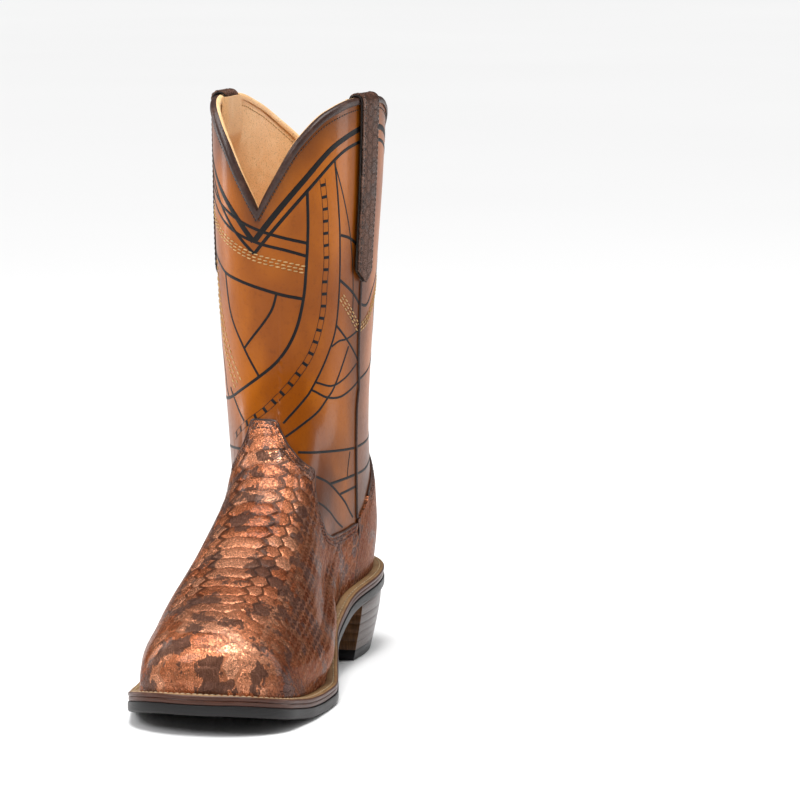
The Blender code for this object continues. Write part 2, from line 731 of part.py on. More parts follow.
def build_heel():
    """The stacked heel: leather lifts, the rubber top lift and the nails through them."""
    stations = stations_between(HEEL_BREAST_Y, 1, COVER[1] + WELT_OVERHANG - HEEL_INSET, 15)
    stations[-1] = 1
    seat_z = underside(HEEL_BREAST_Y) - GAP
    levels = np.linspace(TOP_LIFT_THICKNESS, seat_z - 0.001, HEEL_LIFTS + 1)
    stack = [("top_lift", 0.0, TOP_LIFT_THICKNESS - GAP, BLACK_SOLE)]
    stack += [
        (f"heel_lift_{k + 1}", levels[k], levels[k + 1] - LIFT_GAP, HEEL_LEATHER) for k in range(HEEL_LIFTS)
    ]
    for name, low, high, look in stack:
        bottom, top = heel_outline(low, stations), heel_outline(high, stations)
        last = name == f"heel_lift_{HEEL_LIFTS}"
        rows = []
        for (left, right), z in ((bottom, low), (top, high)):
            edge = np.concatenate([left, right[-2::-1]])
            level = underside(edge[:, 1]) - GAP if last and z == high else np.full(len(edge), z)
            rows.append(np.column_stack([edge, level]))
        made = block(name, rows, len(stations), look)
        if name != "top_lift":
            nail_holes(made)
    for k, (x, y) in enumerate(NAILS):
        angle = np.arange(8) * math.tau / 8
        ends = [TOP_LIFT_THICKNESS + GAP, underside(y) + MIDSOLE_BOTTOM + MIDSOLE_THICKNESS - GAP]
        rings = np.stack([np.column_stack([x + NAIL_RADIUS * np.cos(angle), y + NAIL_RADIUS * np.sin(angle),
                                           np.full(8, z)]) for z in ends])
        tube(f"heel_nail_{k + 1}", rings, STEEL)


def block(name, rows, half, look):
    """A body between two level outlines that run from one front corner round to the other."""
    count = len(rows[0])
    faces = []
    for i in range(count):
        k = (i + 1) % count
        faces.append([i, k, count + k, count + i])
    for i in range(half - 1):
        a, b, c, d = i, i + 1, count - 2 - i, count - 1 - i
        cap = [a, b, d] if b == c else [a, b, c, d]
        faces += [cap[::-1], [count + v for v in cap]]
    return solid(name, np.concatenate(rows), faces, look)


def nail_holes(piece):
    """Cuts the holes that the heel's nails pass through."""
    for k, (x, y) in enumerate(NAILS):
        name = f"nail_drill_{k + 1}"
        drill = bpy.data.objects.get(name)
        if drill is None:
            bpy.ops.mesh.primitive_cylinder_add(vertices=8, radius=NAIL_HOLE, depth=0.2, location=(x + MIDDLE_X, y, 0.03))
            drill = bpy.context.object
            drill.name = name
            drill.hide_render = True
            drill.display_type = "WIRE"
        cut = piece.modifiers.new(name, "BOOLEAN")
        cut.object = drill
        cut.operation = "DIFFERENCE"


def build():
    """The whole boot."""
    for old in list(bpy.data.objects):
        bpy.data.objects.remove(old, do_unlink=True)
    build_upper()
    build_lining()
    build_stiffeners()
    for side, name in ((1, "medial"), (-1, "lateral")):
        build_side_piping(side, f"side_seam_piping_{name}")
        build_strap(f"pull_strap_backing_{name}", side, STRAP_BACKING, STRAP_WIDTH, DARK_TRIM)
        build_strap(f"pull_strap_{name}", side, STRAP_FACE, STRAP_WIDTH - 0.002, PYTHON)
    end = STRAP_TURN - SEAM_GAP / 0.19
    half = np.concatenate([[0.028, 0.052, 0.08], np.linspace(0.115, end, 9)])
    build_binding("topline_binding_front", np.concatenate([-half[::-1], [0], half]))
    half = np.concatenate([[0.028, 0.052, 0.08], np.linspace(0.115, 1 - STRAP_TURN - SEAM_GAP / 0.19, 11)])
    build_binding("topline_binding_back", 1 + np.concatenate([-half[::-1], [0], half]))
    build_sole()
    build_inside()
    build_heel()


build()
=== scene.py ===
"""The looks of a western boot: python leather foot, polished shaft, pull straps and a stacked heel.

+Z is up, the toe points along -Y and +X is the inner side of the foot. All sizes are in metres. The
upper's pieces lie at their own distances from one smooth body, the last. A column runs up the last
from the feather edge, where the upper meets the welt, to the top. Columns are numbered by a turn
from -1 to 1: 0 is the middle of the front, 1 and -1 the middle of the heel, positive the inner side.
"""

from __future__ import annotations

import logging
import math
from dataclasses import dataclass, field
from enum import Enum
from typing import Callable, Sequence

import bpy
import numpy as np
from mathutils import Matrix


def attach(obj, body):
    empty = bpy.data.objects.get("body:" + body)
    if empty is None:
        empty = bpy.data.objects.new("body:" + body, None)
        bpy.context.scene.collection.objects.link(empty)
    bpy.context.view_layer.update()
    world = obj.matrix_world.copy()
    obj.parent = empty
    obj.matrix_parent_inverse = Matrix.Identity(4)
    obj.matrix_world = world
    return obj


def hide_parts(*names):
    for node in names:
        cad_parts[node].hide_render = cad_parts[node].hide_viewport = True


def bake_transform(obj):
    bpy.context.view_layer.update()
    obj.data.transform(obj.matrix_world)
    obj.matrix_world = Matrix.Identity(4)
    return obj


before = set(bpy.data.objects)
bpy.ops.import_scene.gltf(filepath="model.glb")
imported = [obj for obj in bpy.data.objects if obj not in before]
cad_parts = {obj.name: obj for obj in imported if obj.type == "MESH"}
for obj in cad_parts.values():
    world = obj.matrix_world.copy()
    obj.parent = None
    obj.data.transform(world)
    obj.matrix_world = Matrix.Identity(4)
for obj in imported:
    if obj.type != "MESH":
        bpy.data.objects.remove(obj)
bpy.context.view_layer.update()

LOG = logging.getLogger("boot")
Points = np.ndarray
Curve = Callable[[np.ndarray], np.ndarray]
Outline = Sequence[tuple[float, float]]
SHAFT_GIRTH = 0.19
STRAP_TURN = 0.450
HEXAGON = math.sqrt(3) / 2


class Body(Enum):
    """The rigid bodies that pieces ride on."""

    BOOT = "boot"
    INNER_LOOP = "pull_strap_medial_loop"
    OUTER_LOOP = "pull_strap_lateral_loop"


class Slot(Enum):
    """The record's material slots."""

    PYTHON = "python_leather"
    SHAFT = "shaft_leather"
    TRIM = "trim_leather"
    LINING = "lining_leather"
    HEEL = "heel_leather"
    RUBBER = "sole_rubber"
    MIDSOLE = "midsole_leather"
    WELT = "welt_leather"
    STEEL = "steel"
    CORK = "cork"
    BOARD = "board"


# ---------------------------------------------------------------- curves
def smooth_curve(points: Sequence[Sequence[float]], column: int = 1) -> Curve:
    """A smooth function through table rows that never overshoots them.

    Args:
        points: rows that start with the place along the curve.
        column: which of each row's numbers is the curve's value.

    Returns:
        A function from places to values.
    """
    table = np.asarray(points, float)
    x, y = table[:, 0], table[:, column]
    step = np.diff(x)
    slope = np.diff(y) / step
    mid = np.zeros_like(y)
    same_way = slope[:-1] * slope[1:] > 0
    weight = (2 * step[1:] + step[:-1]) / (3 * (step[1:] + step[:-1]))
    safe = np.where(same_way, slope[1:] * weight + slope[:-1] * (1 - weight), 1.0)
    mid[1:-1] = np.where(same_way, slope[:-1] * slope[1:] / safe, 0.0)
    mid[0], mid[-1] = slope[0], slope[-1]

    def value(at: np.ndarray) -> np.ndarray:
        """The curve's value at these places."""
        at = np.clip(np.asarray(at, float), x[0], x[-1])
        k = np.clip(np.searchsorted(x, at, side="right") - 1, 0, len(x) - 2)
        t = (at - x[k]) / step[k]
        rise = (3 - 2 * t) * t * t
        return (
            y[k] * (1 - rise)
            + y[k + 1] * rise
            + step[k] * (mid[k] * t * (1 - t) ** 2 - mid[k + 1] * t * t * (1 - t))
        )

    return value


def smooth_step(low: float, high: float, at: np.ndarray) -> np.ndarray:
    """Rises from 0 at low to 1 at high, level at both ends."""
    t = np.clip((at - low) / (high - low), 0, 1)
    return t * t * (3 - 2 * t)


def unit(vectors: Points) -> Points:
    """The vectors at length one."""
    return vectors / np.maximum(np.linalg.norm(vectors, axis=-1, keepdims=True), 1e-12)


def lengths(line: Points) -> np.ndarray:
    """Length run along a polyline at each of its points."""
    return np.concatenate([[0], np.cumsum(np.linalg.norm(np.diff(line, axis=0), axis=1))])


def sampled(line: Points, at: np.ndarray) -> Points:
    """The polyline's points at these lengths along it."""
    run = lengths(line)
    return np.stack([np.interp(at, run, values) for values in line.T], -1)


def respaced(line: Points, spacing: float) -> Points:
    """The polyline with evenly spaced points."""
    whole = lengths(line)[-1]
    return sampled(line, np.linspace(0, whole, max(3, int(round(whole / spacing)) + 1)))


def marks_along(line: Points, pitch: float) -> np.ndarray:
    """Lengths along a polyline at which evenly spaced marks are centred."""
    whole = lengths(line)[-1]
    count = max(2, int(whole / pitch))
    return (np.arange(count) + 0.5) * whole / count


def across_to(line: Points, out: Points) -> Points:
    """Unit vectors across a line, given the directions out of the surface it lies on."""
    return np.cross(out, unit(np.gradient(line, axis=0)))


def rounded_line(points: Outline, per_span: int = 10) -> Points:
    """A smooth line through a few points, as a centripetal spline."""
    p = np.asarray(points, float)
    p = np.concatenate([[2 * p[0] - p[1]], p, [2 * p[-1] - p[-2]]])
    scale = np.array([SHAFT_GIRTH, 1.0])
    knots = np.concatenate([[0], np.cumsum(np.linalg.norm(np.diff(p * scale, axis=0), axis=1) ** 0.5)])
    found = []
    for k in range(1, len(p) - 2):
        t0, t1, t2, t3 = knots[k - 1 : k + 3]
        t = np.linspace(t1, t2, per_span, endpoint=k == len(p) - 3)[:, None]
        a1 = (t1 - t) / (t1 - t0) * p[k - 1] + (t - t0) / (t1 - t0) * p[k]
        a2 = (t2 - t) / (t2 - t1) * p[k] + (t - t1) / (t2 - t1) * p[k + 1]
        a3 = (t3 - t) / (t3 - t2) * p[k + 1] + (t - t2) / (t3 - t2) * p[k + 2]
        b1 = (t2 - t) / (t2 - t0) * a1 + (t - t0) / (t2 - t0) * a2
        b2 = (t3 - t) / (t3 - t1) * a2 + (t - t1) / (t3 - t1) * a3
        found.append((t2 - t) / (t2 - t1) * b1 + (t - t1) / (t2 - t1) * b2)
    return np.concatenate(found)


# ---------------------------------------------------------------- the last
@dataclass
class Last:
    """The smooth body that the upper is shaped over.

    The foot's plan widths, its ridge and the shaft's level sections run into each other, and the
    outsole's underside gives the height of everything below.
    """

    length: float = 0.310
    overhang: float = 0.0066
    cover: tuple[float, float] = (0.0014, 0.0030)
    outsole: float = 0.0060
    midsole: float = 0.0022
    gap: float = 0.0003
    middle_x: float = 0.0013
    instep_blend: float = 0.022
    toe_corner: tuple[float, float] = (0.027, 0.016)
    toe_roundness: float = 2.6
    foot_roundness: float = 2.35
    foot_taper_y: float = 0.050
    foot_end_y: float = 0.105
    shaft_roundness: float = 2.15
    facing: float = math.radians(-7)
    ankle_z: float = 0.160
    top_z: float = 0.350
    ankle_core: tuple[float, float] = (0.070, 0.076)
    bulge_height: float = 0.030
    bulges: Sequence[Sequence[float]] = (
        (-0.130, 0.0005, 0.0010), (-0.090, 0.0015, 0.0030), (-0.050, 0.0020, 0.0050), (-0.010, 0.0025, 0.0062),
        (0.025, 0.0012, 0.0020), (0.045, 0.0000, 0.0000),
    )
    widths: Sequence[Sequence[float]] = (
        (-0.150, 0.0350, 0.0350), (-0.125, 0.0370, 0.0375), (-0.095, 0.0435, 0.0425), (-0.062, 0.0465, 0.0440),
        (-0.025, 0.0420, 0.0365), (0.015, 0.0345, 0.0285), (0.055, 0.0310, 0.0285), (0.100, 0.0310, 0.0300),
    )
    ridge: Outline = (
        (-0.150, 0.053), (-0.128, 0.055), (-0.105, 0.060), (-0.075, 0.070), (-0.045, 0.084), (-0.015, 0.103),
        (0.010, 0.124), (0.030, 0.145), (0.060, 0.150), (0.110, 0.150),
    )
    underside_line: Outline = (
        (-0.152, 0.0110), (-0.125, 0.0052), (-0.100, 0.0013), (-0.078, 0.0000), (-0.055, 0.0000), (-0.030, 0.0045),
        (0.000, 0.0150), (0.030, 0.0262), (0.058, 0.0325), (0.090, 0.0350), (0.152, 0.0378),
    )
    side_seam: Outline = (
        (0.036, 0.722), (0.060, 0.700), (0.082, 0.668), (0.100, 0.630), (0.112, 0.602), (0.125, 0.566),
        (0.137, 0.528), (0.150, 0.486), (0.162, 0.461), (0.180, 0.453), (0.210, 0.450), (0.350, 0.450),
    )
    table_turns: int = 481
    table_steps: int = 260

    def __post_init__(self) -> None:
        """Works out the curves, the feather edge and the table of columns."""
        self.toe_y = -self.length / 2 + self.overhang + self.cover[1]
        self.heel_y = self.length / 2 - self.overhang - self.cover[1]
        heel = self.heel_y
        sections = (
            (0.030, 0.0285, 0.062, heel - 0.0030, 0.0000),
            (0.048, 0.0305, 0.056, heel - 0.0005, 0.0000),
            (0.070, 0.0335, 0.048, heel, 0.0000),
            (0.093, 0.0350, 0.040, 0.1400, -0.0010),
            (0.115, 0.0362, 0.036, 0.1340, -0.0025),
            (0.135, 0.0375, 0.034, 0.1315, -0.0035),
            (0.160, 0.0388, 0.031, 0.1325, -0.0040),
            (0.195, 0.0405, 0.026, 0.1365, -0.0040),
            (0.240, 0.0425, 0.020, 0.1420, -0.0035),
            (0.285, 0.0440, 0.015, 0.1465, -0.0025),
            (0.325, 0.0448, 0.012, 0.1490, -0.0020),
            (0.360, 0.0450, 0.011, 0.1500, -0.0020),
        )
        self.section_width, self.section_front, self.section_back, self.section_middle = (
            smooth_curve(sections, k) for k in range(1, 5)
        )
        self.underside = smooth_curve(self.underside_line)
        self.ridge_height = smooth_curve(self.ridge)
        self.outer_width, self.inner_width = (smooth_curve(self.widths, k) for k in (1, 2))
        self.outer_bulge, self.inner_bulge = (smooth_curve(self.bulges, k) for k in (1, 2))
        self.seam_turn = smooth_curve(self.side_seam)
        self.shift = np.array([self.middle_x, 0, 0])
        self.midsole_bottom = self.outsole + self.gap
        self.welt_bottom = self.midsole_bottom + self.midsole + self.gap
        self.feather_rise = self.welt_bottom + self.cover[1]
        self.feather = {side: self._feather_side(side) for side in (-1, 1)}
        self.turns = np.linspace(-1, 1, self.table_turns)
        columns = self._columns(self.turns)
        steps = np.linspace(0, 1, self.table_steps)
        self.table = np.stack([self._even(column, steps) for column in columns])
        gaps = np.linalg.norm(np.diff(self.table, axis=1), axis=2)
        self.runs = np.concatenate([np.zeros((len(gaps), 1)), np.cumsum(gaps, 1)], 1)

    @staticmethod
    def _even(column: Points, shares: np.ndarray) -> Points:
        """A column's points at these shares of its length."""
        return sampled(column, shares * lengths(column)[-1])

    def feather_height(self, y: np.ndarray) -> np.ndarray:
        """Height of the last's bottom edge."""
        return self.underside(y) + self.feather_rise

    def _foot_distance(self, x: np.ndarray, y: np.ndarray, z: np.ndarray) -> np.ndarray:
        """Rough distance outside the foot."""
        floor = self.feather_height(y)
        up = np.maximum(z - floor, 0)
        height = np.maximum(self.ridge_height(y) - floor, 0.02)
        width = np.where(x > 0, self.inner_width(y), self.outer_width(y))
        rise = np.clip((up - 0.002) / self.bulge_height, 0, 1)
        bulge = np.where(x > 0, self.inner_bulge(y), self.outer_bulge(y))
        width = width + bulge * 16 * rise**2 * (1 - rise) ** 2
        corner = self.toe_corner[0] + self.toe_corner[1] * np.clip(up / height, 0, 1) ** 2
        ahead = np.maximum((self.toe_y + corner - y) / corner, 0)
        behind = np.maximum((y - self.foot_taper_y) / (self.foot_end_y - self.foot_taper_y), 0)
        power = self.foot_roundness
        size = (np.abs(x) / width) ** power + (up / height) ** power
        size = size + ahead**self.toe_roundness + behind**2
        return (size ** (1 / power) - 1) * np.minimum(width, height)

    def _shaft_distance(self, x: np.ndarray, y: np.ndarray, z: np.ndarray) -> np.ndarray:
        """Rough distance outside the heel and shaft."""
        front, back, width = self.section_front(z), self.section_back(z), self.section_width(z)
        facing = self.facing * np.clip((z - 0.06) / 0.10, 0, 1)
        east, north = x - self.section_middle(z), y - (front + back) / 2
        across = np.abs(east * np.cos(facing) + north * np.sin(facing))
        along = np.abs(north * np.cos(facing) - east * np.sin(facing))
        power = self.shaft_roundness
        size = (across / width) ** power + (along / ((back - front) / 2)) ** power
        return (size ** (1 / power) - 1) * width

    def distance(self, points: Points) -> np.ndarray:
        """Rough distance outside the last, before the whole boot is centred."""
        x, y, z = points[..., 0], points[..., 1], points[..., 2]
        foot, shaft = self._foot_distance(x, y, z), self._shaft_distance(x, y, z)
        share = np.clip(0.5 + 0.5 * (shaft - foot) / self.instep_blend, 0, 1)
        return shaft + (foot - shaft) * share - self.instep_blend * share * (1 - share)

    def normal(self, points: Points) -> Points:
        """Unit vectors out of the last."""
        shifts = np.eye(3) * 2e-5
        slope = [self.distance(points + s) - self.distance(points - s) for s in shifts]
        return unit(np.stack(slope, -1))

    def _cast(self, core: Points, aim: Points) -> Points:
        """Where the lines from core through aim leave the last."""
        low, high = np.zeros(core.shape[:-1]), np.full(core.shape[:-1], 4.0)
        for _ in range(34):
            middle = (low + high) / 2
            inside = self.distance(core + (aim - core) * middle[..., None]) < 0
            low, high = np.where(inside, middle, low), np.where(inside, high, middle)
        return core + (aim - core) * low[..., None]

    def _feather_side(self, side: int) -> Points:
        """The feather edge from the toe's tip to the heel's middle."""
        angle = np.linspace(0, math.pi, 721)
        middle, half = (self.toe_y + self.heel_y) / 2, (self.heel_y - self.toe_y) / 2
        y = middle - half * np.cos(angle) * (1 - 1e-6)
        core = np.stack([np.zeros_like(y), y, self.feather_height(y)], -1)
        return self._cast(core, core + [side * 0.02, 0, 0])

    def feather_point(self, turn: np.ndarray) -> tuple[Points, Points]:
        """Points of the feather edge, and the level directions out of it.

        Args:
            turn: turns between -1 and 1.

        Returns:
            The points and the unit vectors, one of each for a turn.
        """
        turn = np.atleast_1d(np.asarray(turn, float))
        reach = 0.004
        side = np.where(turn < 0, -1, 1)[:, None]
        at, ahead, behind = (
            np.where(side > 0, *(self._even(self.feather[s], np.clip(np.abs(turn) + d, 0, 1)) for s in (1, -1)))
            for d in (0, reach, -reach)
        )
        along = (ahead - behind)[:, :2] * side
        along[np.abs(turn) < reach] = (1, 0)
        along[np.abs(turn) > 1 - reach] = (-1, 0)
        return at, unit(np.stack([along[:, 1], -along[:, 0], np.zeros(len(turn))], -1))

    def _section_points(self, turn: np.ndarray, z: float) -> Points:
        """Points of the shaft's level section at height z."""
        angle = np.linspace(0, math.pi, 361)
        power = 2 / self.shaft_roundness
        front, back = self.section_front(z), self.section_back(z)
        x = self.section_width(z) * np.abs(np.sin(angle)) ** power
        y = -(back - front) / 2 * np.sign(np.cos(angle)) * np.abs(np.cos(angle)) ** power
        found = self._even(np.stack([x, y, np.full_like(x, z)], -1), np.abs(turn))
        found[:, 0] *= np.sign(turn)
        east, north = found[:, 0].copy(), found[:, 1].copy()
        cos, sin = math.cos(self.facing), math.sin(self.facing)
        found[:, 0] = self.section_middle(z) + east * cos - north * sin
        found[:, 1] = (front + back) / 2 + east * sin + north * cos
        return found

    def _columns(self, turn: np.ndarray, foot_steps: int = 110, shaft_steps: int = 60) -> Points:
        """Points up the last for each turn."""
        start, _ = self.feather_point(turn)
        end = self._section_points(turn, self.ankle_z)
        core_y = np.clip(start[:, 1], self.toe_y + 0.030, 0.095)
        first = np.stack([0 * core_y, core_y, self.feather_height(core_y) + 0.012], -1)

        def middle(z: np.ndarray) -> Points:
            """The middle of the shaft's section at these heights."""
            z = np.asarray(z, float)
            return np.stack([self.section_middle(z), (self.section_front(z) + self.section_back(z)) / 2, z], -1)

        t = (np.linspace(0, 1, foot_steps) ** 1.25)[None, :, None]
        bend = np.array([0, *self.ankle_core])
        core = first[:, None] * (1 - t) ** 2 + bend * 2 * t * (1 - t) + middle(self.ankle_z) * t * t
        foot = self._cast(core, start[:, None] * (1 - t) + end[:, None] * t)
        foot[:, 0] = start
        levels = np.linspace(self.ankle_z, self.top_z, shaft_steps)[1:]
        shaft = np.stack([self._section_points(turn, z) for z in levels], 1)
        core = np.broadcast_to(middle(levels), shaft.shape)
        return np.concatenate([foot, self._cast(core, shaft)], 1)

    def _look_up(self, values: np.ndarray, turn: np.ndarray, share: np.ndarray) -> np.ndarray:
        """Values of a table at these turns and shares of the columns' lengths."""
        place = ((turn + 1) % 2) / 2 * (len(self.turns) - 1)
        i = np.clip(np.floor(place).astype(int), 0, len(self.turns) - 2)
        height = np.clip(share, 0, 1) * (values.shape[1] - 1)
        j = np.clip(np.floor(height).astype(int), 0, values.shape[1] - 2)
        a, b = place - i, height - j
        if values.ndim == 3:
            a, b = a[..., None], b[..., None]
        low = values[i, j] * (1 - b) + values[i, j + 1] * b
        high = values[i + 1, j] * (1 - b) + values[i + 1, j + 1] * b
        return low * (1 - a) + high * a

    def share_at(self, turn: np.ndarray, z: np.ndarray) -> np.ndarray:
        """Share of the column's length at which it reaches these heights."""
        low, high = np.zeros(np.shape(turn)), np.ones(np.shape(turn))
        heights = self.table[..., 2]
        for _ in range(22):
            middle = (low + high) / 2
            under = self._look_up(heights, turn, middle) < z
            low, high = np.where(under, middle, low), np.where(under, high, middle)
        return (low + high) / 2

    def at(self, turn: np.ndarray, z: np.ndarray) -> Points:
        """Points of the last at these turns and heights."""
        turn, z = np.broadcast_arrays(np.asarray(turn, float), np.asarray(z, float))
        return self._look_up(self.table, turn, self.share_at(turn, z))

    def feather_z(self, turn: np.ndarray) -> np.ndarray:
        """Height of the feather edge at these turns."""
        flat = ((np.asarray(turn, float) + 1) % 2 - 1).reshape(-1)
        return self.feather_point(flat)[0][:, 2].reshape(np.shape(turn))

    def settle(self, points: Points) -> Points:
        """Moves points near the last onto it."""
        for _ in range(2):
            step = 2e-5
            gaps = [self.distance(points + s) - self.distance(points - s) for s in np.eye(3) * step]
            slope = np.stack(gaps, -1) / (2 * step)
            size = np.maximum((slope**2).sum(-1), 0.2)
            points = points - slope * (self.distance(points) / size)[..., None]
        return points

    def raised(self, points: Points, distance: np.ndarray | float) -> Points:
        """Points this far out from points of the last, in the boot's own frame."""
        lift = np.asarray(distance, float)
        lift = lift[..., None] if lift.ndim else lift
        return points + self.normal(points) * lift + self.shift

    def panel_sides(self, gap: float) -> tuple[tuple[Curve, Curve], tuple[Curve, Curve]]:
        """The sides of the front and the back patch, each this many turns short of the side seams."""
        seam = self.seam_turn
        front = (lambda z: gap - seam(z), lambda z: seam(z) - gap)
        back = (lambda z: seam(z) + gap, lambda z: 2 - seam(z) - gap)
        return front, back

    def trace(self, outline: Outline, spacing: float, smooth: bool = True) -> Points:
        """An evenly spaced line on the last through a few turns and heights."""
        line = rounded_line(outline) if smooth and len(outline) > 2 else np.asarray(outline, float)
        if not smooth or len(outline) == 2:
            share = np.linspace(0, 1, 40)
            line = np.concatenate([a + (b - a) * share[:, None] for a, b in zip(line, line[1:])])
        found = self.at(line[:, 0], line[:, 1])
        keep = np.concatenate([[True], np.linalg.norm(np.diff(found, axis=0), axis=1) > 1e-6])
        return self.settle(respaced(found[keep], spacing))

    def beside(self, line: Points, distance: float) -> Points:
        """A line on the last beside another, on the left of its way, clear of its corners."""
        moved = self.settle(line + across_to(line, self.normal(line)) * distance)
        gap = np.linalg.norm(moved[:, None] - line[None], axis=2).min(1)
        kept = moved[gap > abs(distance) * 0.93]
        return respaced(kept, 0.0008)

    def patch(
        self, sides: tuple[Curve, Curve], low: Curve, high: Curve, across: int, rows: int, gather: float = 1.0
    ) -> tuple[Points, np.ndarray]:
        """A four-sided patch of the last.

        Args:
            sides: each side's turn against height.
            low: the lower edge's height against turn.
            high: the upper edge's height against turn.
            across: number of points from side to side.
            rows: number of points from edge to edge.
            gather: above 1 draws the rows together at the lower edge.

        Returns:
            The points, and their turns.
        """
        share = np.linspace(0, 1, rows) ** gather
        ends = []
        for side in sides:
            turn = np.full(rows, float(side(np.array(0.1))))
            for _ in range(12):
                first, last = (self.share_at(turn, f(turn)) for f in (low, high))
                turn = side(self._look_up(self.table[..., 2], turn, first + (last - first) * share))
            ends.append(turn[:, None])
        turn = ends[0] + (ends[1] - ends[0]) * np.linspace(0, 1, across)[None]
        first, last = (self.share_at(turn, f(turn)) for f in (low, high))
        return self._look_up(self.table, turn, first + (last - first) * share[:, None]), turn


def both_sides(points: Outline) -> Curve:
    """An edge's height against turn, the same on both sides of the boot."""
    curve = smooth_curve(points)
    return lambda turn: curve(np.abs((np.asarray(turn) + 1) % 2 - 1))


TOPLINE = both_sides(
    (
        (0.000, 0.2630), (0.070, 0.2850), (0.140, 0.3045), (0.242, 0.3195), (0.360, 0.3255), (0.450, 0.3265),
        (0.560, 0.3255), (0.670, 0.3195), (0.790, 0.3065), (0.900, 0.2900), (1.000, 0.2700),
    )
)
WING: Outline = (
    (0.052, 0.1455), (0.068, 0.1400), (0.100, 0.1320), (0.150, 0.1250), (0.200, 0.1205), (0.245, 0.1180),
    (0.262, 0.1080), (0.292, 0.1000), (0.340, 0.0905), (0.420, 0.0815), (0.500, 0.0780), (0.600, 0.0785),
)
VAMP_TOP = both_sides(((0.000, 0.1455), *WING, (0.690, 0.0820)))
COUNTER_TOP = both_sides(
    ((0.640, 0.0790), (0.690, 0.0860), (0.740, 0.0985), (0.820, 0.1130), (0.910, 0.1230), (1.000, 0.1280))
)


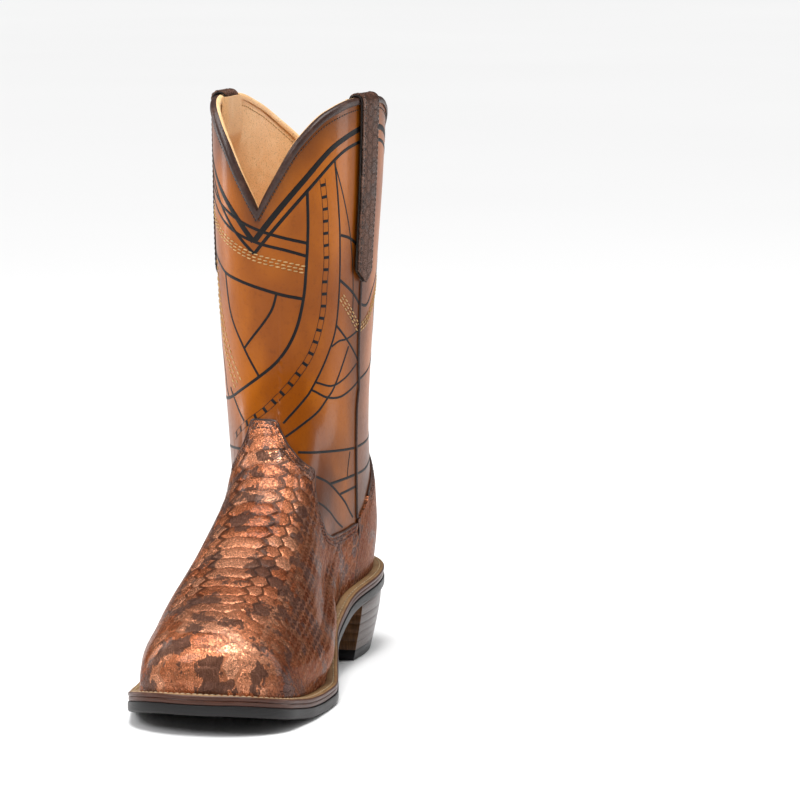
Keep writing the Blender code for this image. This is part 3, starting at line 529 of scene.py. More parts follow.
# ---------------------------------------------------------------- modelling
class Bench:
    """The modelling tools that every piece is made with."""

    @staticmethod
    def clear() -> None:
        """Leaves edit mode with nothing selected."""
        if bpy.context.mode != "OBJECT":
            bpy.ops.object.mode_set(mode="OBJECT")
        bpy.ops.object.select_all(action="DESELECT")

    @staticmethod
    def named(name: str) -> bpy.types.Object:
        """Names the active object and its mesh."""
        piece = bpy.context.object
        piece.name = piece.data.name = name
        return piece

    @staticmethod
    def choose(piece: bpy.types.Object) -> None:
        """Makes this piece the only one selected, and the active one."""
        Bench.clear()
        piece.select_set(True)
        bpy.context.view_layer.objects.active = piece

    @staticmethod
    def modify(piece: bpy.types.Object, kind: str, **settings: object) -> None:
        """Adds a modifier with these settings and applies it."""
        Bench.choose(piece)
        modifier = piece.modifiers.new(kind.lower(), kind)
        for name, value in settings.items():
            setattr(modifier, name, value)
        bpy.ops.object.modifier_apply(modifier=modifier.name)

    @staticmethod
    def grid(name: str, points: Points) -> bpy.types.Object:
        """A grid laid on rows of points.

        Args:
            name: the piece's name.
            points: rows of points, in metres.

        Returns:
            The piece, one face thick.
        """
        rows, across = points.shape[:2]
        Bench.clear()
        bpy.ops.mesh.primitive_grid_add(x_subdivisions=across - 1, y_subdivisions=rows - 1, size=1)
        piece = Bench.named(name)
        piece.data.vertices.foreach_set("co", points.reshape(-1).astype(np.float32))
        piece.data.update()
        return piece

    @staticmethod
    def lay_out(piece: bpy.types.Object, name: str, place: np.ndarray) -> None:
        """Adds a UV map with each vertex's place in it."""
        layer = piece.data.uv_layers.new(name=name)
        corner = np.empty(len(piece.data.loops), np.int32)
        piece.data.loops.foreach_get("vertex_index", corner)
        layer.data.foreach_set("uv", place.reshape(-1, 2)[corner].astype(np.float32).reshape(-1))

    @staticmethod
    def edit(piece: bpy.types.Object, *steps: tuple[Callable[..., object], dict[str, object]]) -> None:
        """Runs operators with their settings on all of a piece, in edit mode."""
        Bench.choose(piece)
        bpy.ops.object.mode_set(mode="EDIT")
        for operator, settings in steps:
            bpy.ops.mesh.select_all(action="SELECT")
            operator(**settings)
        bpy.ops.object.mode_set(mode="OBJECT")

    @staticmethod
    def finish(piece: bpy.types.Object, angle: float = 35) -> bpy.types.Object:
        """Merges doubles, closes holes, turns the faces out and smooths them."""
        mesh = bpy.ops.mesh
        Bench.edit(
            piece,
            (mesh.remove_doubles, {"threshold": 1e-6}),
            (mesh.fill_holes, {"sides": 0}),
            (mesh.normals_make_consistent, {"inside": False}),
        )
        bpy.ops.object.shade_smooth_by_angle(angle=math.radians(angle))
        return piece

    @staticmethod
    def bare_grid(name: str, points: Points) -> bpy.types.Object:
        """A grid laid on rows of points, without a UV map."""
        piece = Bench.grid(name, points)
        for layer in list(piece.data.uv_layers):
            piece.data.uv_layers.remove(layer)
        return piece

    @staticmethod
    def sheet(
        name: str, points: Points, thickness: float, maps: dict[str, np.ndarray] | None = None
    ) -> bpy.types.Object:
        """A sheet whose outer face is laid on rows of points.

        Args:
            name: the piece's name.
            points: rows of points of its outer face.
            thickness: the sheet's thickness, inwards.
            maps: UV maps by name, each with a place for every point.

        Returns:
            The closed piece.
        """
        piece = Bench.bare_grid(name, points)
        for key, place in (maps or {}).items():
            Bench.lay_out(piece, key, place)
        Bench.modify(piece, "SOLIDIFY", thickness=thickness, offset=-1.0, use_even_offset=False)
        return Bench.finish(piece, 50)

    @staticmethod
    def tube(name: str, sections: Points, closed: bool = False, angle: float = 35) -> bpy.types.Object:
        """A body through equal rings of points, flat at its ends unless it closes on itself."""
        rings = np.concatenate([sections, sections[:, :1]], 1)
        if closed:
            rings = np.concatenate([rings, rings[:1]])
        return Bench.finish(Bench.grid(name, rings), angle)

    @staticmethod
    def join(name: str, pieces: Sequence[bpy.types.Object]) -> bpy.types.Object:
        """Joins pieces into one under a new name."""
        Bench.clear()
        for piece in pieces:
            piece.select_set(True)
        bpy.context.view_layer.objects.active = pieces[0]
        if len(pieces) > 1:
            bpy.ops.object.join()
        return Bench.named(name)

    @staticmethod
    def repeat(name: str, unit_piece: bpy.types.Object, frames: Points) -> bpy.types.Object:
        """Many copies of a small piece as one mesh.

        Args:
            name: the new piece's name.
            unit_piece: the piece to repeat, about a metre in size.
            frames: for each copy a row of its middle and its three half axes.

        Returns:
            The joined copies.
        """
        source = unit_piece.data
        corners = np.empty(len(source.vertices) * 3, np.float32)
        source.vertices.foreach_get("co", corners)
        corners = corners.reshape(-1, 3).astype(float)
        placed = frames[:, None, 0] + np.einsum("vk,nkc->nvc", corners, frames[:, 1:])
        faces = [tuple(face.vertices) for face in source.polygons]
        count = len(corners)
        every = [tuple(v + k * count for v in face) for k in range(len(frames)) for face in faces]
        mesh = bpy.data.meshes.new(name)
        mesh.from_pydata(placed.reshape(-1, 3).tolist(), [], every)
        piece = bpy.data.objects.new(name, mesh)
        bpy.context.scene.collection.objects.link(piece)
        Bench.choose(piece)
        bpy.ops.object.shade_smooth()
        return piece


def hand_over(
    piece: bpy.types.Object, look: "Finish", body: Body = Body.BOOT, replaced: Sequence[str] = ()
) -> bpy.types.Object:
    """Dresses a finished piece, and says what it rides on and stands for."""
    piece.data.materials.clear()
    piece.data.materials.append(look.material())
    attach(piece, body.value)
    if replaced:
        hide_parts(*replaced)
    LOG.info("%s: %d faces", piece.name, len(piece.data.polygons))
    return piece


# ---------------------------------------------------------------- finishes
Colour = tuple[float, float, float]
Socket = bpy.types.NodeSocket


class Graph:
    """A material's nodes, added from the surface's coordinates to its shader."""

    def __init__(self, name: str) -> None:
        """Starts a material with only its shader and output."""
        self.material = bpy.data.materials.new(name)
        self.material.use_nodes = True
        self.tree = self.material.node_tree
        self.tree.nodes.clear()
        self.shader = self.tree.nodes.new("ShaderNodeBsdfPrincipled")
        output = self.tree.nodes.new("ShaderNodeOutputMaterial")
        self.tree.links.new(self.shader.outputs[0], output.inputs[0])

    def add(self, kind: str, *inputs: object, out: str | int = 0, **settings: object) -> Socket:
        """Adds a node.

        Args:
            kind: the node's type, without its ShaderNode prefix.
            inputs: values or sockets for its inputs, in order; None skips one.
            out: the output to return.
            settings: properties of the node.

        Returns:
            The chosen output socket.
        """
        node = self.tree.nodes.new("ShaderNode" + kind)
        for name, value in settings.items():
            setattr(node, name, value)
        for socket, value in zip(node.inputs, inputs):
            self.feed(socket, value)
        return node.outputs[out]

    def feed(self, socket: Socket, value: object) -> None:
        """Links a socket to an input, or sets its value."""
        if isinstance(value, bpy.types.NodeSocket):
            self.tree.links.new(value, socket)
        elif value is not None:
            socket.default_value = (*value, 1) if socket.type == "RGBA" and len(value) == 3 else value

    def set(self, **values: object) -> None:
        """Sets or links the shader's inputs, named with underscores for spaces."""
        for name, value in values.items():
            self.feed(self.shader.inputs[name.replace("_", " ")], value)

    def maths(self, operation: str, *inputs: object) -> Socket:
        """A Math node."""
        return self.add("Math", *inputs, operation=operation)

    def times(self, first: object, second: object) -> Socket:
        """The product of two values."""
        return self.maths("MULTIPLY", first, second)

    def plus(self, first: object, second: object) -> Socket:
        """The sum of two values."""
        return self.maths("ADD", first, second)

    def less(self, first: object, second: object) -> Socket:
        """The first value less the second."""
        return self.maths("SUBTRACT", first, second)

    def rest(self, share: object) -> Socket:
        """What is left of 1."""
        return self.maths("SUBTRACT", 1.0, share)

    def vector(self, operation: str, *inputs: object) -> Socket:
        """A Vector Math node."""
        out = 1 if operation in ("DOT_PRODUCT", "LENGTH", "DISTANCE") else 0
        return self.add("VectorMath", *inputs, operation=operation, out=out)

    def place(self, scale: tuple[float, float, float] = (1, 1, 1)) -> Socket:
        """Object coordinates, stretched."""
        return self.vector("MULTIPLY", self.add("TexCoord", out="Object"), scale)

    def uv(self, name: str, scale: tuple[float, float, float] = (1, 1, 1)) -> Socket:
        """A UV map's coordinates, stretched."""
        return self.vector("MULTIPLY", self.add("UVMap", uv_map=name), scale)

    def noise(self, at: Socket, scale: float, detail: float = 3, rough: float = 0.55) -> Socket:
        """Smooth noise from 0 to 1."""
        node = self.add("TexNoise", at)
        inputs = node.node.inputs
        inputs["Scale"].default_value, inputs["Detail"].default_value = scale, detail
        inputs["Roughness"].default_value = rough
        return node

    def cells(self, at: Socket, scale: float, feature: str = "DISTANCE_TO_EDGE") -> Socket:
        """Voronoi cells' distances."""
        node = self.add("TexVoronoi", at, feature=feature)
        node.node.inputs["Scale"].default_value = scale
        return node

    def ramp(self, value: Socket, low: float, high: float) -> Socket:
        """Rises smoothly from 0 at low to 1 at high."""
        return self.add("MapRange", value, low, high, 0.0, 1.0, interpolation_type="SMOOTHSTEP")

    def mix(self, share: object, first: object, second: object) -> Socket:
        """Mixes two colours."""
        node = self.tree.nodes.new("ShaderNodeMix")
        node.data_type = "RGBA"
        sockets = [s for s in node.inputs if s.type == "RGBA"]
        self.feed(node.inputs[0], share)
        self.feed(sockets[0], first)
        self.feed(sockets[1], second)
        return [s for s in node.outputs if s.type == "RGBA"][0]

    def bump(self, height: Socket, depth: float, before: Socket | None = None) -> Socket:
        """Bumps the surface by a height from 0 to 1, this deep in metres."""
        node = self.tree.nodes.new("ShaderNodeBump")
        node.inputs["Strength"].default_value = 1.0
        node.inputs["Distance"].default_value = depth
        self.feed(node.inputs["Height"], height)
        if before is not None:
            self.feed(node.inputs["Normal"], before)
        return node.outputs[0]


class Finish:
    """A finish, whose material is made once."""

    made: dict[str, bpy.types.Material] = {}

    def material(self) -> bpy.types.Material:
        """The finish's material."""
        name = getattr(self, "name")
        if name not in Finish.made:
            graph = Graph(name)
            self.paint(graph)
            Finish.made[name] = graph.material
        return Finish.made[name]

    def paint(self, graph: Graph) -> None:
        """Adds the finish's nodes."""
        raise NotImplementedError


@dataclass(frozen=True)
class PythonLeather(Finish):
    """Copper foil over embossed scales, with dark blotches, worn cracks and painted shade where the surface faces
    sideways.
    """

    name: str = "copper_python"
    copper: Colour = (0.58, 0.215, 0.105)
    light: Colour = (0.92, 0.56, 0.37)
    deep: Colour = (0.27, 0.075, 0.030)
    blotch: Colour = (0.052, 0.026, 0.019)
    crack: Colour = (0.018, 0.008, 0.006)
    # side: a dark colour laid on faces that turn sideways, as painted shade
    side: Colour = (0.040, 0.009, 0.004)
    seam: Colour = (0.25, 0.115, 0.070)
    metal: float = 0.85
    spread: float = 0.545
    patches: float = 62.0

    def paint(self, graph: Graph) -> None:
        """Adds the scales, the blotches, the grain and the painted shade on the sideways faces."""
        g = graph
        flat = g.uv("scales")
        sway = g.vector("SUBTRACT", g.add("TexNoise", g.uv("grain", (1.6, 1.6, 1)), out="Color"), (0.5, 0.5, 0.5))
        flat = g.vector("ADD", flat, g.vector("MULTIPLY", sway, (0.10, 0.16, 0)))
        half = (HEXAGON, 0.5, 0.5)
        minus = tuple(-value for value in half)
        first = g.vector("WRAP", flat, half, minus)
        second = g.vector("WRAP", g.vector("ADD", flat, half), half, minus)
        nearer = g.maths("LESS_THAN", g.vector("DOT_PRODUCT", first, first), g.vector("DOT_PRODUCT", second, second))
        local = g.mix(nearer, second, first)
        cell = g.vector("SUBTRACT", flat, local)
        cell = g.vector("SNAP", g.vector("ADD", cell, (half[0] / 2, 0.25, 0)), (half[0], 0.5, 1.0))
        size = g.vector("ABSOLUTE", local)
        side = g.vector("DOT_PRODUCT", size, (half[0], 0.5, 0))
        upright = g.vector("DOT_PRODUCT", size, (0, 1, 0))
        edge = g.less(0.5, g.maths("MAXIMUM", side, upright))
        chance = g.add("TexWhiteNoise", cell, out="Color")
        amount = g.add("TexWhiteNoise", cell, out="Value")

        # lean: how far the surface faces sideways; it darkens those faces as painted shade, and widens and lightens
        # the scale lines there
        lean = g.maths("ABSOLUTE", g.add("SeparateXYZ", g.add("TexCoord", out="Normal")).node.outputs[0])
        lean = g.ramp(lean, 0.55, 0.98)
        inward = g.less(edge, g.times(lean, 0.032))
        rough_edge = g.times(g.noise(g.uv("grain", (9, 9, 1)), 1.0, 3), 0.034)
        crack = g.rest(g.ramp(g.less(inward, rough_edge), -0.012, 0.010))
        ahead = g.add("SeparateXYZ", g.place()).node.outputs[1]
        faint = g.plus(g.times(g.ramp(ahead, -0.118, -0.085), 0.75), 0.25)
        crack = g.times(crack, faint)
        jump = g.vector("MULTIPLY", g.vector("SUBTRACT", chance, (0.5, 0.5, 0.5)), (0.0055, 0.0055, 0.0055))
        spots = g.noise(g.vector("ADD", g.place(), jump), self.patches, 2, 0.5)
        ragged = g.times(g.noise(g.place((1, 0.6, 0.6)), 520.0, 2, 0.5), 0.24)
        spots = g.plus(spots, ragged)
        dark = g.ramp(spots, self.spread + 0.130, self.spread + 0.142)

        strands = g.noise(g.uv("grain", (17, 2.2, 1)), 1.0, 3, 0.6)
        creases = g.cells(g.vector("ADD", g.place((230, 430, 430)), g.vector("MULTIPLY", sway, (2, 2, 2))), 1.0)
        crease = g.rest(g.ramp(creases, 0.0, 0.07))
        broad = g.noise(g.place((1, 1, 1)), 26.0, 2)

        colour = g.mix(g.ramp(broad, 0.35, 0.68), self.deep, self.copper)
        colour = g.mix(g.times(g.ramp(amount, 0.35, 1.0), 0.22), colour, self.light)
        colour = g.mix(g.times(g.ramp(strands, 0.52, 0.78), 0.55), colour, self.deep)
        colour = g.mix(g.times(g.ramp(strands, 0.46, 0.25), 0.30), colour, self.light)
        shade = g.mix(g.ramp(strands, 0.40, 0.70), self.blotch, tuple(2.4 * v for v in self.blotch))
        colour = g.mix(g.times(dark, 0.88), colour, shade)
        # painted shade: faces that turn sideways are mixed towards the dark side colour
        colour = g.mix(g.times(lean, 0.74), colour, self.side)
        colour = g.mix(g.times(crease, 0.50), colour, self.crack)
        line = g.mix(lean, self.crack, self.seam)
        colour = g.mix(g.times(crack, 0.80), colour, line)

        metal = g.times(g.rest(g.times(dark, 0.55)), self.metal)
        rough = g.plus(g.times(g.maths("MAXIMUM", crack, crease), 0.22), 0.18)
        rough = g.plus(rough, g.times(strands, 0.16))
        relief = g.bump(g.ramp(edge, 0.0, 0.13), 0.00052)
        relief = g.bump(strands, 0.00028, relief)
        relief = g.bump(g.ramp(creases, 0.0, 0.12), 0.00013, relief)
        relief = g.bump(g.noise(g.place(), 1500.0, 2), 0.00005, relief)
        g.set(Base_Color=colour, Metallic=metal, Roughness=rough, Normal=relief)
        g.set(Coat_Weight=0.14, Coat_Roughness=0.10, Coat_IOR=1.5, Specular_IOR_Level=0.2)
        g.set(Specular_Tint=(0.75, 0.42, 0.30, 1.0))


@dataclass(frozen=True)
class ShaftLeather(Finish):
    """Polished cognac calf, darker low down, along the side seams and below the topline."""

    name: str = "polished_cognac"
    bright: Colour = (0.40, 0.108, 0.002)
    plain: Colour = (0.23, 0.054, 0.001)
    dark_tone: Colour = (0.045, 0.011, 0.003)

    def paint(self, graph: Graph) -> None:
        """Adds the darkening low down and at the edges, the mottling and the fine grain."""
        g = graph
        at = g.place()
        mottle = g.noise(g.place((1, 1, 0.55)), 22.0, 3, 0.5)
        colour = g.mix(g.ramp(mottle, 0.36, 0.66), self.plain, self.bright)
        fine = g.noise(at, 420.0, 3, 0.65)
        colour = g.mix(g.times(g.ramp(fine, 0.5, 0.8), 0.22), colour, self.dark_tone)
        place = g.add("SeparateXYZ", at)
        height = place.node.outputs[2]
        # darker towards the bottom, next to the side seams and just below the topline
        low = g.rest(g.ramp(height, 0.085, 0.175))
        band = g.add("SeparateXYZ", g.uv("round"))
        seam = g.rest(g.ramp(band.node.outputs[0], 0.0, 0.030))
        top = g.rest(g.ramp(band.node.outputs[1], 0.0, 0.030))
        cloud = g.ramp(g.noise(at, 30.0, 2), 0.30, 0.62)
        darkening = g.times(low, g.plus(g.times(cloud, 0.55), 0.35))
        darkening = g.maths("MAXIMUM", darkening, g.times(seam, 0.72))
        darkening = g.maths("MAXIMUM", darkening, g.times(top, 0.60))
        colour = g.mix(darkening, colour, self.dark_tone)
        relief = g.bump(g.noise(at, 260.0, 3), 0.00010)
        relief = g.bump(g.cells(at, 900.0, "F1"), 0.00004, relief)
        g.set(Base_Color=colour, Roughness=g.plus(g.times(fine, 0.16), 0.27), Normal=relief)
        g.set(Coat_Weight=0.17, Coat_Roughness=0.12, Coat_IOR=1.5, Specular_IOR_Level=0.12)


@dataclass(frozen=True)
class PlainLeather(Finish):
    """Leather of one colour, with pores, creases and worn high spots."""

    name: str
    colour: Colour
    worn: Colour
    grain: float = 700.0
    depth: float = 0.00010
    rough: float = 0.42
    coat: float = 0.15
    shine: float = 0.5

    def paint(self, graph: Graph) -> None:
        """Adds the pores, the wear and the creases."""
        g = graph
        at = g.place()
        pores = g.cells(at, self.grain, "F1")
        wear = g.noise(at, 85.0, 4, 0.62)
        colour = g.mix(g.ramp(wear, 0.42, 0.74), self.colour, self.worn)
        shadow = tuple(0.45 * value for value in self.colour)
        colour = g.mix(g.times(g.ramp(pores, 0.55, 0.85), 0.45), colour, shadow)
        relief = g.bump(pores, -self.depth)
        relief = g.bump(g.noise(at, 150.0, 4), self.depth * 2.2, relief)
        rough = g.plus(g.times(wear, 0.24), self.rough - 0.10)
        g.set(Base_Color=colour, Roughness=rough, Normal=relief)
        g.set(Coat_Weight=self.coat, Coat_Roughness=0.25, Coat_IOR=1.5, Specular_IOR_Level=self.shine)


@dataclass(frozen=True)
class CutEdge(Finish):
    """The cut and burnished edge of stacked leather or rubber, with fine level lines."""

    name: str
    colour: Colour
    line: Colour
    spacing: float = 0.0011
    rough: float = 0.34
    coat: float = 0.25
    breast: Colour | None = None
    breast_y: float = 0.0
    strength: float = 0.18

    def paint(self, graph: Graph) -> None:
        """Adds the layers' lines, scuffs and, on a heel, the plain front face."""
        g = graph
        at = g.place()
        wave = g.times(g.noise(g.place((1, 1, 3)), 60.0, 3), 0.0009)
        height = g.plus(g.add("SeparateXYZ", at).node.outputs[2], wave)
        lines = g.maths("PINGPONG", height, self.spacing)
        lines = g.rest(g.ramp(lines, 0.0, self.spacing * 0.30))
        streaks = g.noise(g.place((1, 1, 14)), 130.0, 4, 0.65)
        colour = g.mix(g.ramp(streaks, 0.38, 0.75), self.colour, tuple(1.7 * v for v in self.colour))
        if self.breast is not None:
            grainy = g.noise(g.place((6, 1, 1)), 120.0, 4, 0.6)
            natural = g.mix(g.ramp(grainy, 0.35, 0.70), self.breast, tuple(0.45 * v for v in self.breast))
            front = g.add("SeparateXYZ", at).node.outputs[1]
            here = g.maths("LESS_THAN", front, self.breast_y)
            colour = g.mix(here, colour, natural)
        colour = g.mix(g.times(lines, self.strength), colour, self.line)
        relief = g.bump(lines, -0.00006)
        relief = g.bump(streaks, 0.00008, relief)
        rough = g.plus(g.times(streaks, 0.25), self.rough - 0.10)
        g.set(Base_Color=colour, Roughness=rough, Normal=relief)
        g.set(Coat_Weight=self.coat, Coat_Roughness=0.18, Coat_IOR=1.5, Specular_IOR_Level=0.25)


@dataclass(frozen=True)
class Thread(Finish):
    """Waxed thread, twisted, with a little variation in its colour."""

    name: str
    colour: Colour
    rough: float = 0.55

    def paint(self, graph: Graph) -> None:
        """Adds the twist and the colour's variation."""
        g = graph
        twist = g.noise(g.place((1, 1, 1)), 2600.0, 2)
        shade = g.noise(g.place(), 240.0, 3)
        colour = g.mix(g.ramp(shade, 0.35, 0.70), tuple(0.62 * v for v in self.colour), self.colour)
        colour = g.mix(g.times(twist, 0.35), colour, tuple(0.35 * v for v in self.colour))
        g.set(Base_Color=colour, Roughness=self.rough, Normal=g.bump(twist, 0.00012))


@dataclass(frozen=True)
class Metal(Finish):
    """Plain rolled steel."""

    name: str = "rolled_steel"

    def paint(self, graph: Graph) -> None:
        """Adds the rolling marks."""
        g = graph
        marks = g.noise(g.place((1, 12, 1)), 160.0, 4)
        colour = g.mix(marks, (0.30, 0.30, 0.31), (0.52, 0.52, 0.54))
        rough = g.plus(g.times(marks, 0.3), 0.25)
        g.set(Base_Color=colour, Metallic=0.95, Roughness=rough, Normal=g.bump(marks, 0.00005))


PYTHON = PythonLeather()
STRAP_PYTHON = PythonLeather(
    "grey_python",
    copper=(0.21, 0.105, 0.072),
    light=(0.42, 0.27, 0.21),
    deep=(0.085, 0.040, 0.028),
    blotch=(0.030, 0.018, 0.014),
    # side: painted shade on the strap's faces that turn sideways
    side=(0.060, 0.030, 0.020),
    seam=(0.050, 0.028, 0.020),
    metal=0.40,
    spread=0.56,
)
COGNAC = ShaftLeather()
TRIM = PlainLeather("dark_trim", (0.032, 0.013, 0.009), (0.075, 0.034, 0.022), 900.0, 0.00012, 0.40, 0.12, 0.3)
BLACK_TRIM = PlainLeather("black_trim", (0.010, 0.008, 0.007), (0.024, 0.018, 0.014), 900.0, 0.00010, 0.40, 0.10, 0.3)
LINING = PlainLeather("cream_lining", (0.86, 0.53, 0.25), (0.93, 0.64, 0.35), 1500.0, 0.00008, 0.50, 0.08)
LINES = PlainLeather("black_line", (0.007, 0.006, 0.006), (0.014, 0.011, 0.010), 1200.0, 0.00004, 0.50, 0.04, 0.15)
WELT_TAN = PlainLeather("welt_tan", (0.27, 0.150, 0.060), (0.17, 0.085, 0.032), 800.0, 0.00010, 0.50, 0.10)
MIDSOLE_EDGE = CutEdge("midsole_edge", (0.055, 0.019, 0.011), (0.024, 0.010, 0.007), 0.0012, 0.36, 0.10)
RUBBER = CutEdge("black_rubber", (0.0085, 0.0078, 0.0080), (0.006, 0.006, 0.006), 0.0030, 0.42, 0.05, strength=0.2)
HEEL_STACK = CutEdge(
    "stacked_heel",
    (0.036, 0.018, 0.013),
    (0.014, 0.008, 0.006),
    0.0016,
    0.32,
    0.15,
    breast=(0.150, 0.068, 0.028),
    breast_y=0.0644,
)
BOARD = PlainLeather("leather_board", (0.42, 0.30, 0.18), (0.50, 0.37, 0.24), 600.0, 0.00010, 0.80, 0.0)
CORK = PlainLeather("cork_filler", (0.34, 0.19, 0.09), (0.22, 0.11, 0.05), 380.0, 0.00030, 0.90, 0.0)
STEEL = Metal()
TAN_THREAD = Thread("tan_thread", (0.66, 0.40, 0.15))
BROWN_THREAD = Thread("brown_thread", (0.105, 0.040, 0.026), 0.42)
DARK_THREAD = Thread("dark_thread", (0.020, 0.014, 0.012), 0.45)
WELT_THREAD = Thread("welt_thread", (0.58, 0.42, 0.24))


# ---------------------------------------------------------------- rows of stitches and printed lines
@dataclass
class Stitcher:
    """Sews rows of thread and lays printed lines on the last's surface."""

    last: Last
    grain_of_rice: bpy.types.Object | None = None
    rung_block: bpy.types.Object | None = None

    def stitch_shape(self) -> bpy.types.Object:
        """One stitch, a metre across each way, with blunt round ends."""
        if self.grain_of_rice is None:
            Bench.clear()
            bpy.ops.mesh.primitive_uv_sphere_add(segments=6, ring_count=5, radius=1)
            piece = Bench.named("stitch_shape")
            quarter = {"value": math.pi / 2, "orient_axis": "Y", "center_override": (0, 0, 0)}
            Bench.edit(piece, (bpy.ops.transform.rotate, quarter))
            for vertex in piece.data.vertices:
                x = vertex.co.x
                vertex.co.x = math.copysign(abs(x) ** 0.75, x)
            self.grain_of_rice = piece
        return self.grain_of_rice

    def rung_shape(self) -> bpy.types.Object:
        """One flat bar of the ladder, a metre across each way, with softened edges."""
        if self.rung_block is None:
            Bench.clear()
            bpy.ops.mesh.primitive_cube_add(size=2)
            piece = Bench.named("rung_shape")
            Bench.edit(piece, (bpy.ops.mesh.bevel, {"offset": 0.16, "segments": 1, "affect": "EDGES"}))
            self.rung_block = piece
        return self.rung_block

    def along(self, line: Points, lift: float, pitch: float, size: tuple[float, float, float], slant: float) -> Points:
        """Frames of marks along a line.

        Args:
            line: points of the last.
            lift: the marks' distance from the last.
            pitch: distance between marks.
            size: each mark's length, width and height.
            slant: turn of each mark out of the line, in radians.

        Returns:
            Rows of a middle and three half axes.
        """
        reach = 0.0005
        at = marks_along(line, pitch)
        middle, ahead, behind = (sampled(line, at + step) for step in (0, reach, -reach))
        out = self.last.normal(middle)
        way = unit(ahead - behind)
        way = unit(way - out * (way * out).sum(-1, keepdims=True))
        side = np.cross(out, way)
        turned = way * math.cos(slant) + side * math.sin(slant)
        side = np.cross(out, turned)
        place = self.last.raised(middle, lift)
        return np.stack([place, turned * size[0] / 2, side * size[1] / 2, out * size[2] / 2], 1)

    def row(
        self,
        name: str,
        lines: Sequence[Points],
        lift: float,
        look: Finish,
        slot: Slot,
        pitch: float = 0.0026,
        size: tuple[float, float, float] = (0.0021, 0.00062, 0.00050),
        slant: float = 0.0,
    ) -> bpy.types.Object:
        """Sews rows of stitches as one piece."""
        frames = np.concatenate([self.along(line, lift, pitch, size, slant) for line in lines])
        return hand_over(Bench.repeat(name, self.stitch_shape(), frames), look)

    def cord(self, name: str, line: Points, lift: float, radius: float, sides: int) -> bpy.types.Object:
        """A round cord along a line of the last, its middle this far out."""
        out = self.last.normal(line)
        side = across_to(line, out)
        middle = self.last.raised(line, lift)
        angle = np.arange(sides) * math.tau / sides
        rings = [middle + (side * math.cos(a) + out * math.sin(a)) * radius for a in angle]
        return Bench.tube(name, np.stack(rings, 1))

    def ribbon(self, name: str, line: Points, width: float, lift: float, height: float) -> bpy.types.Object:
        """A thin printed band centred on a line of the last, with softened edges."""
        side = across_to(line, self.last.normal(line))
        profile = ((-0.5, -1.0), (0.5, -1.0), (0.5, 0.35), (0.42, 1.0), (-0.42, 1.0), (-0.5, 0.35))
        rings = [self.last.raised(line + side * width * d, lift + height * h) for d, h in profile]
        return Bench.tube(name, np.stack(rings, 1))


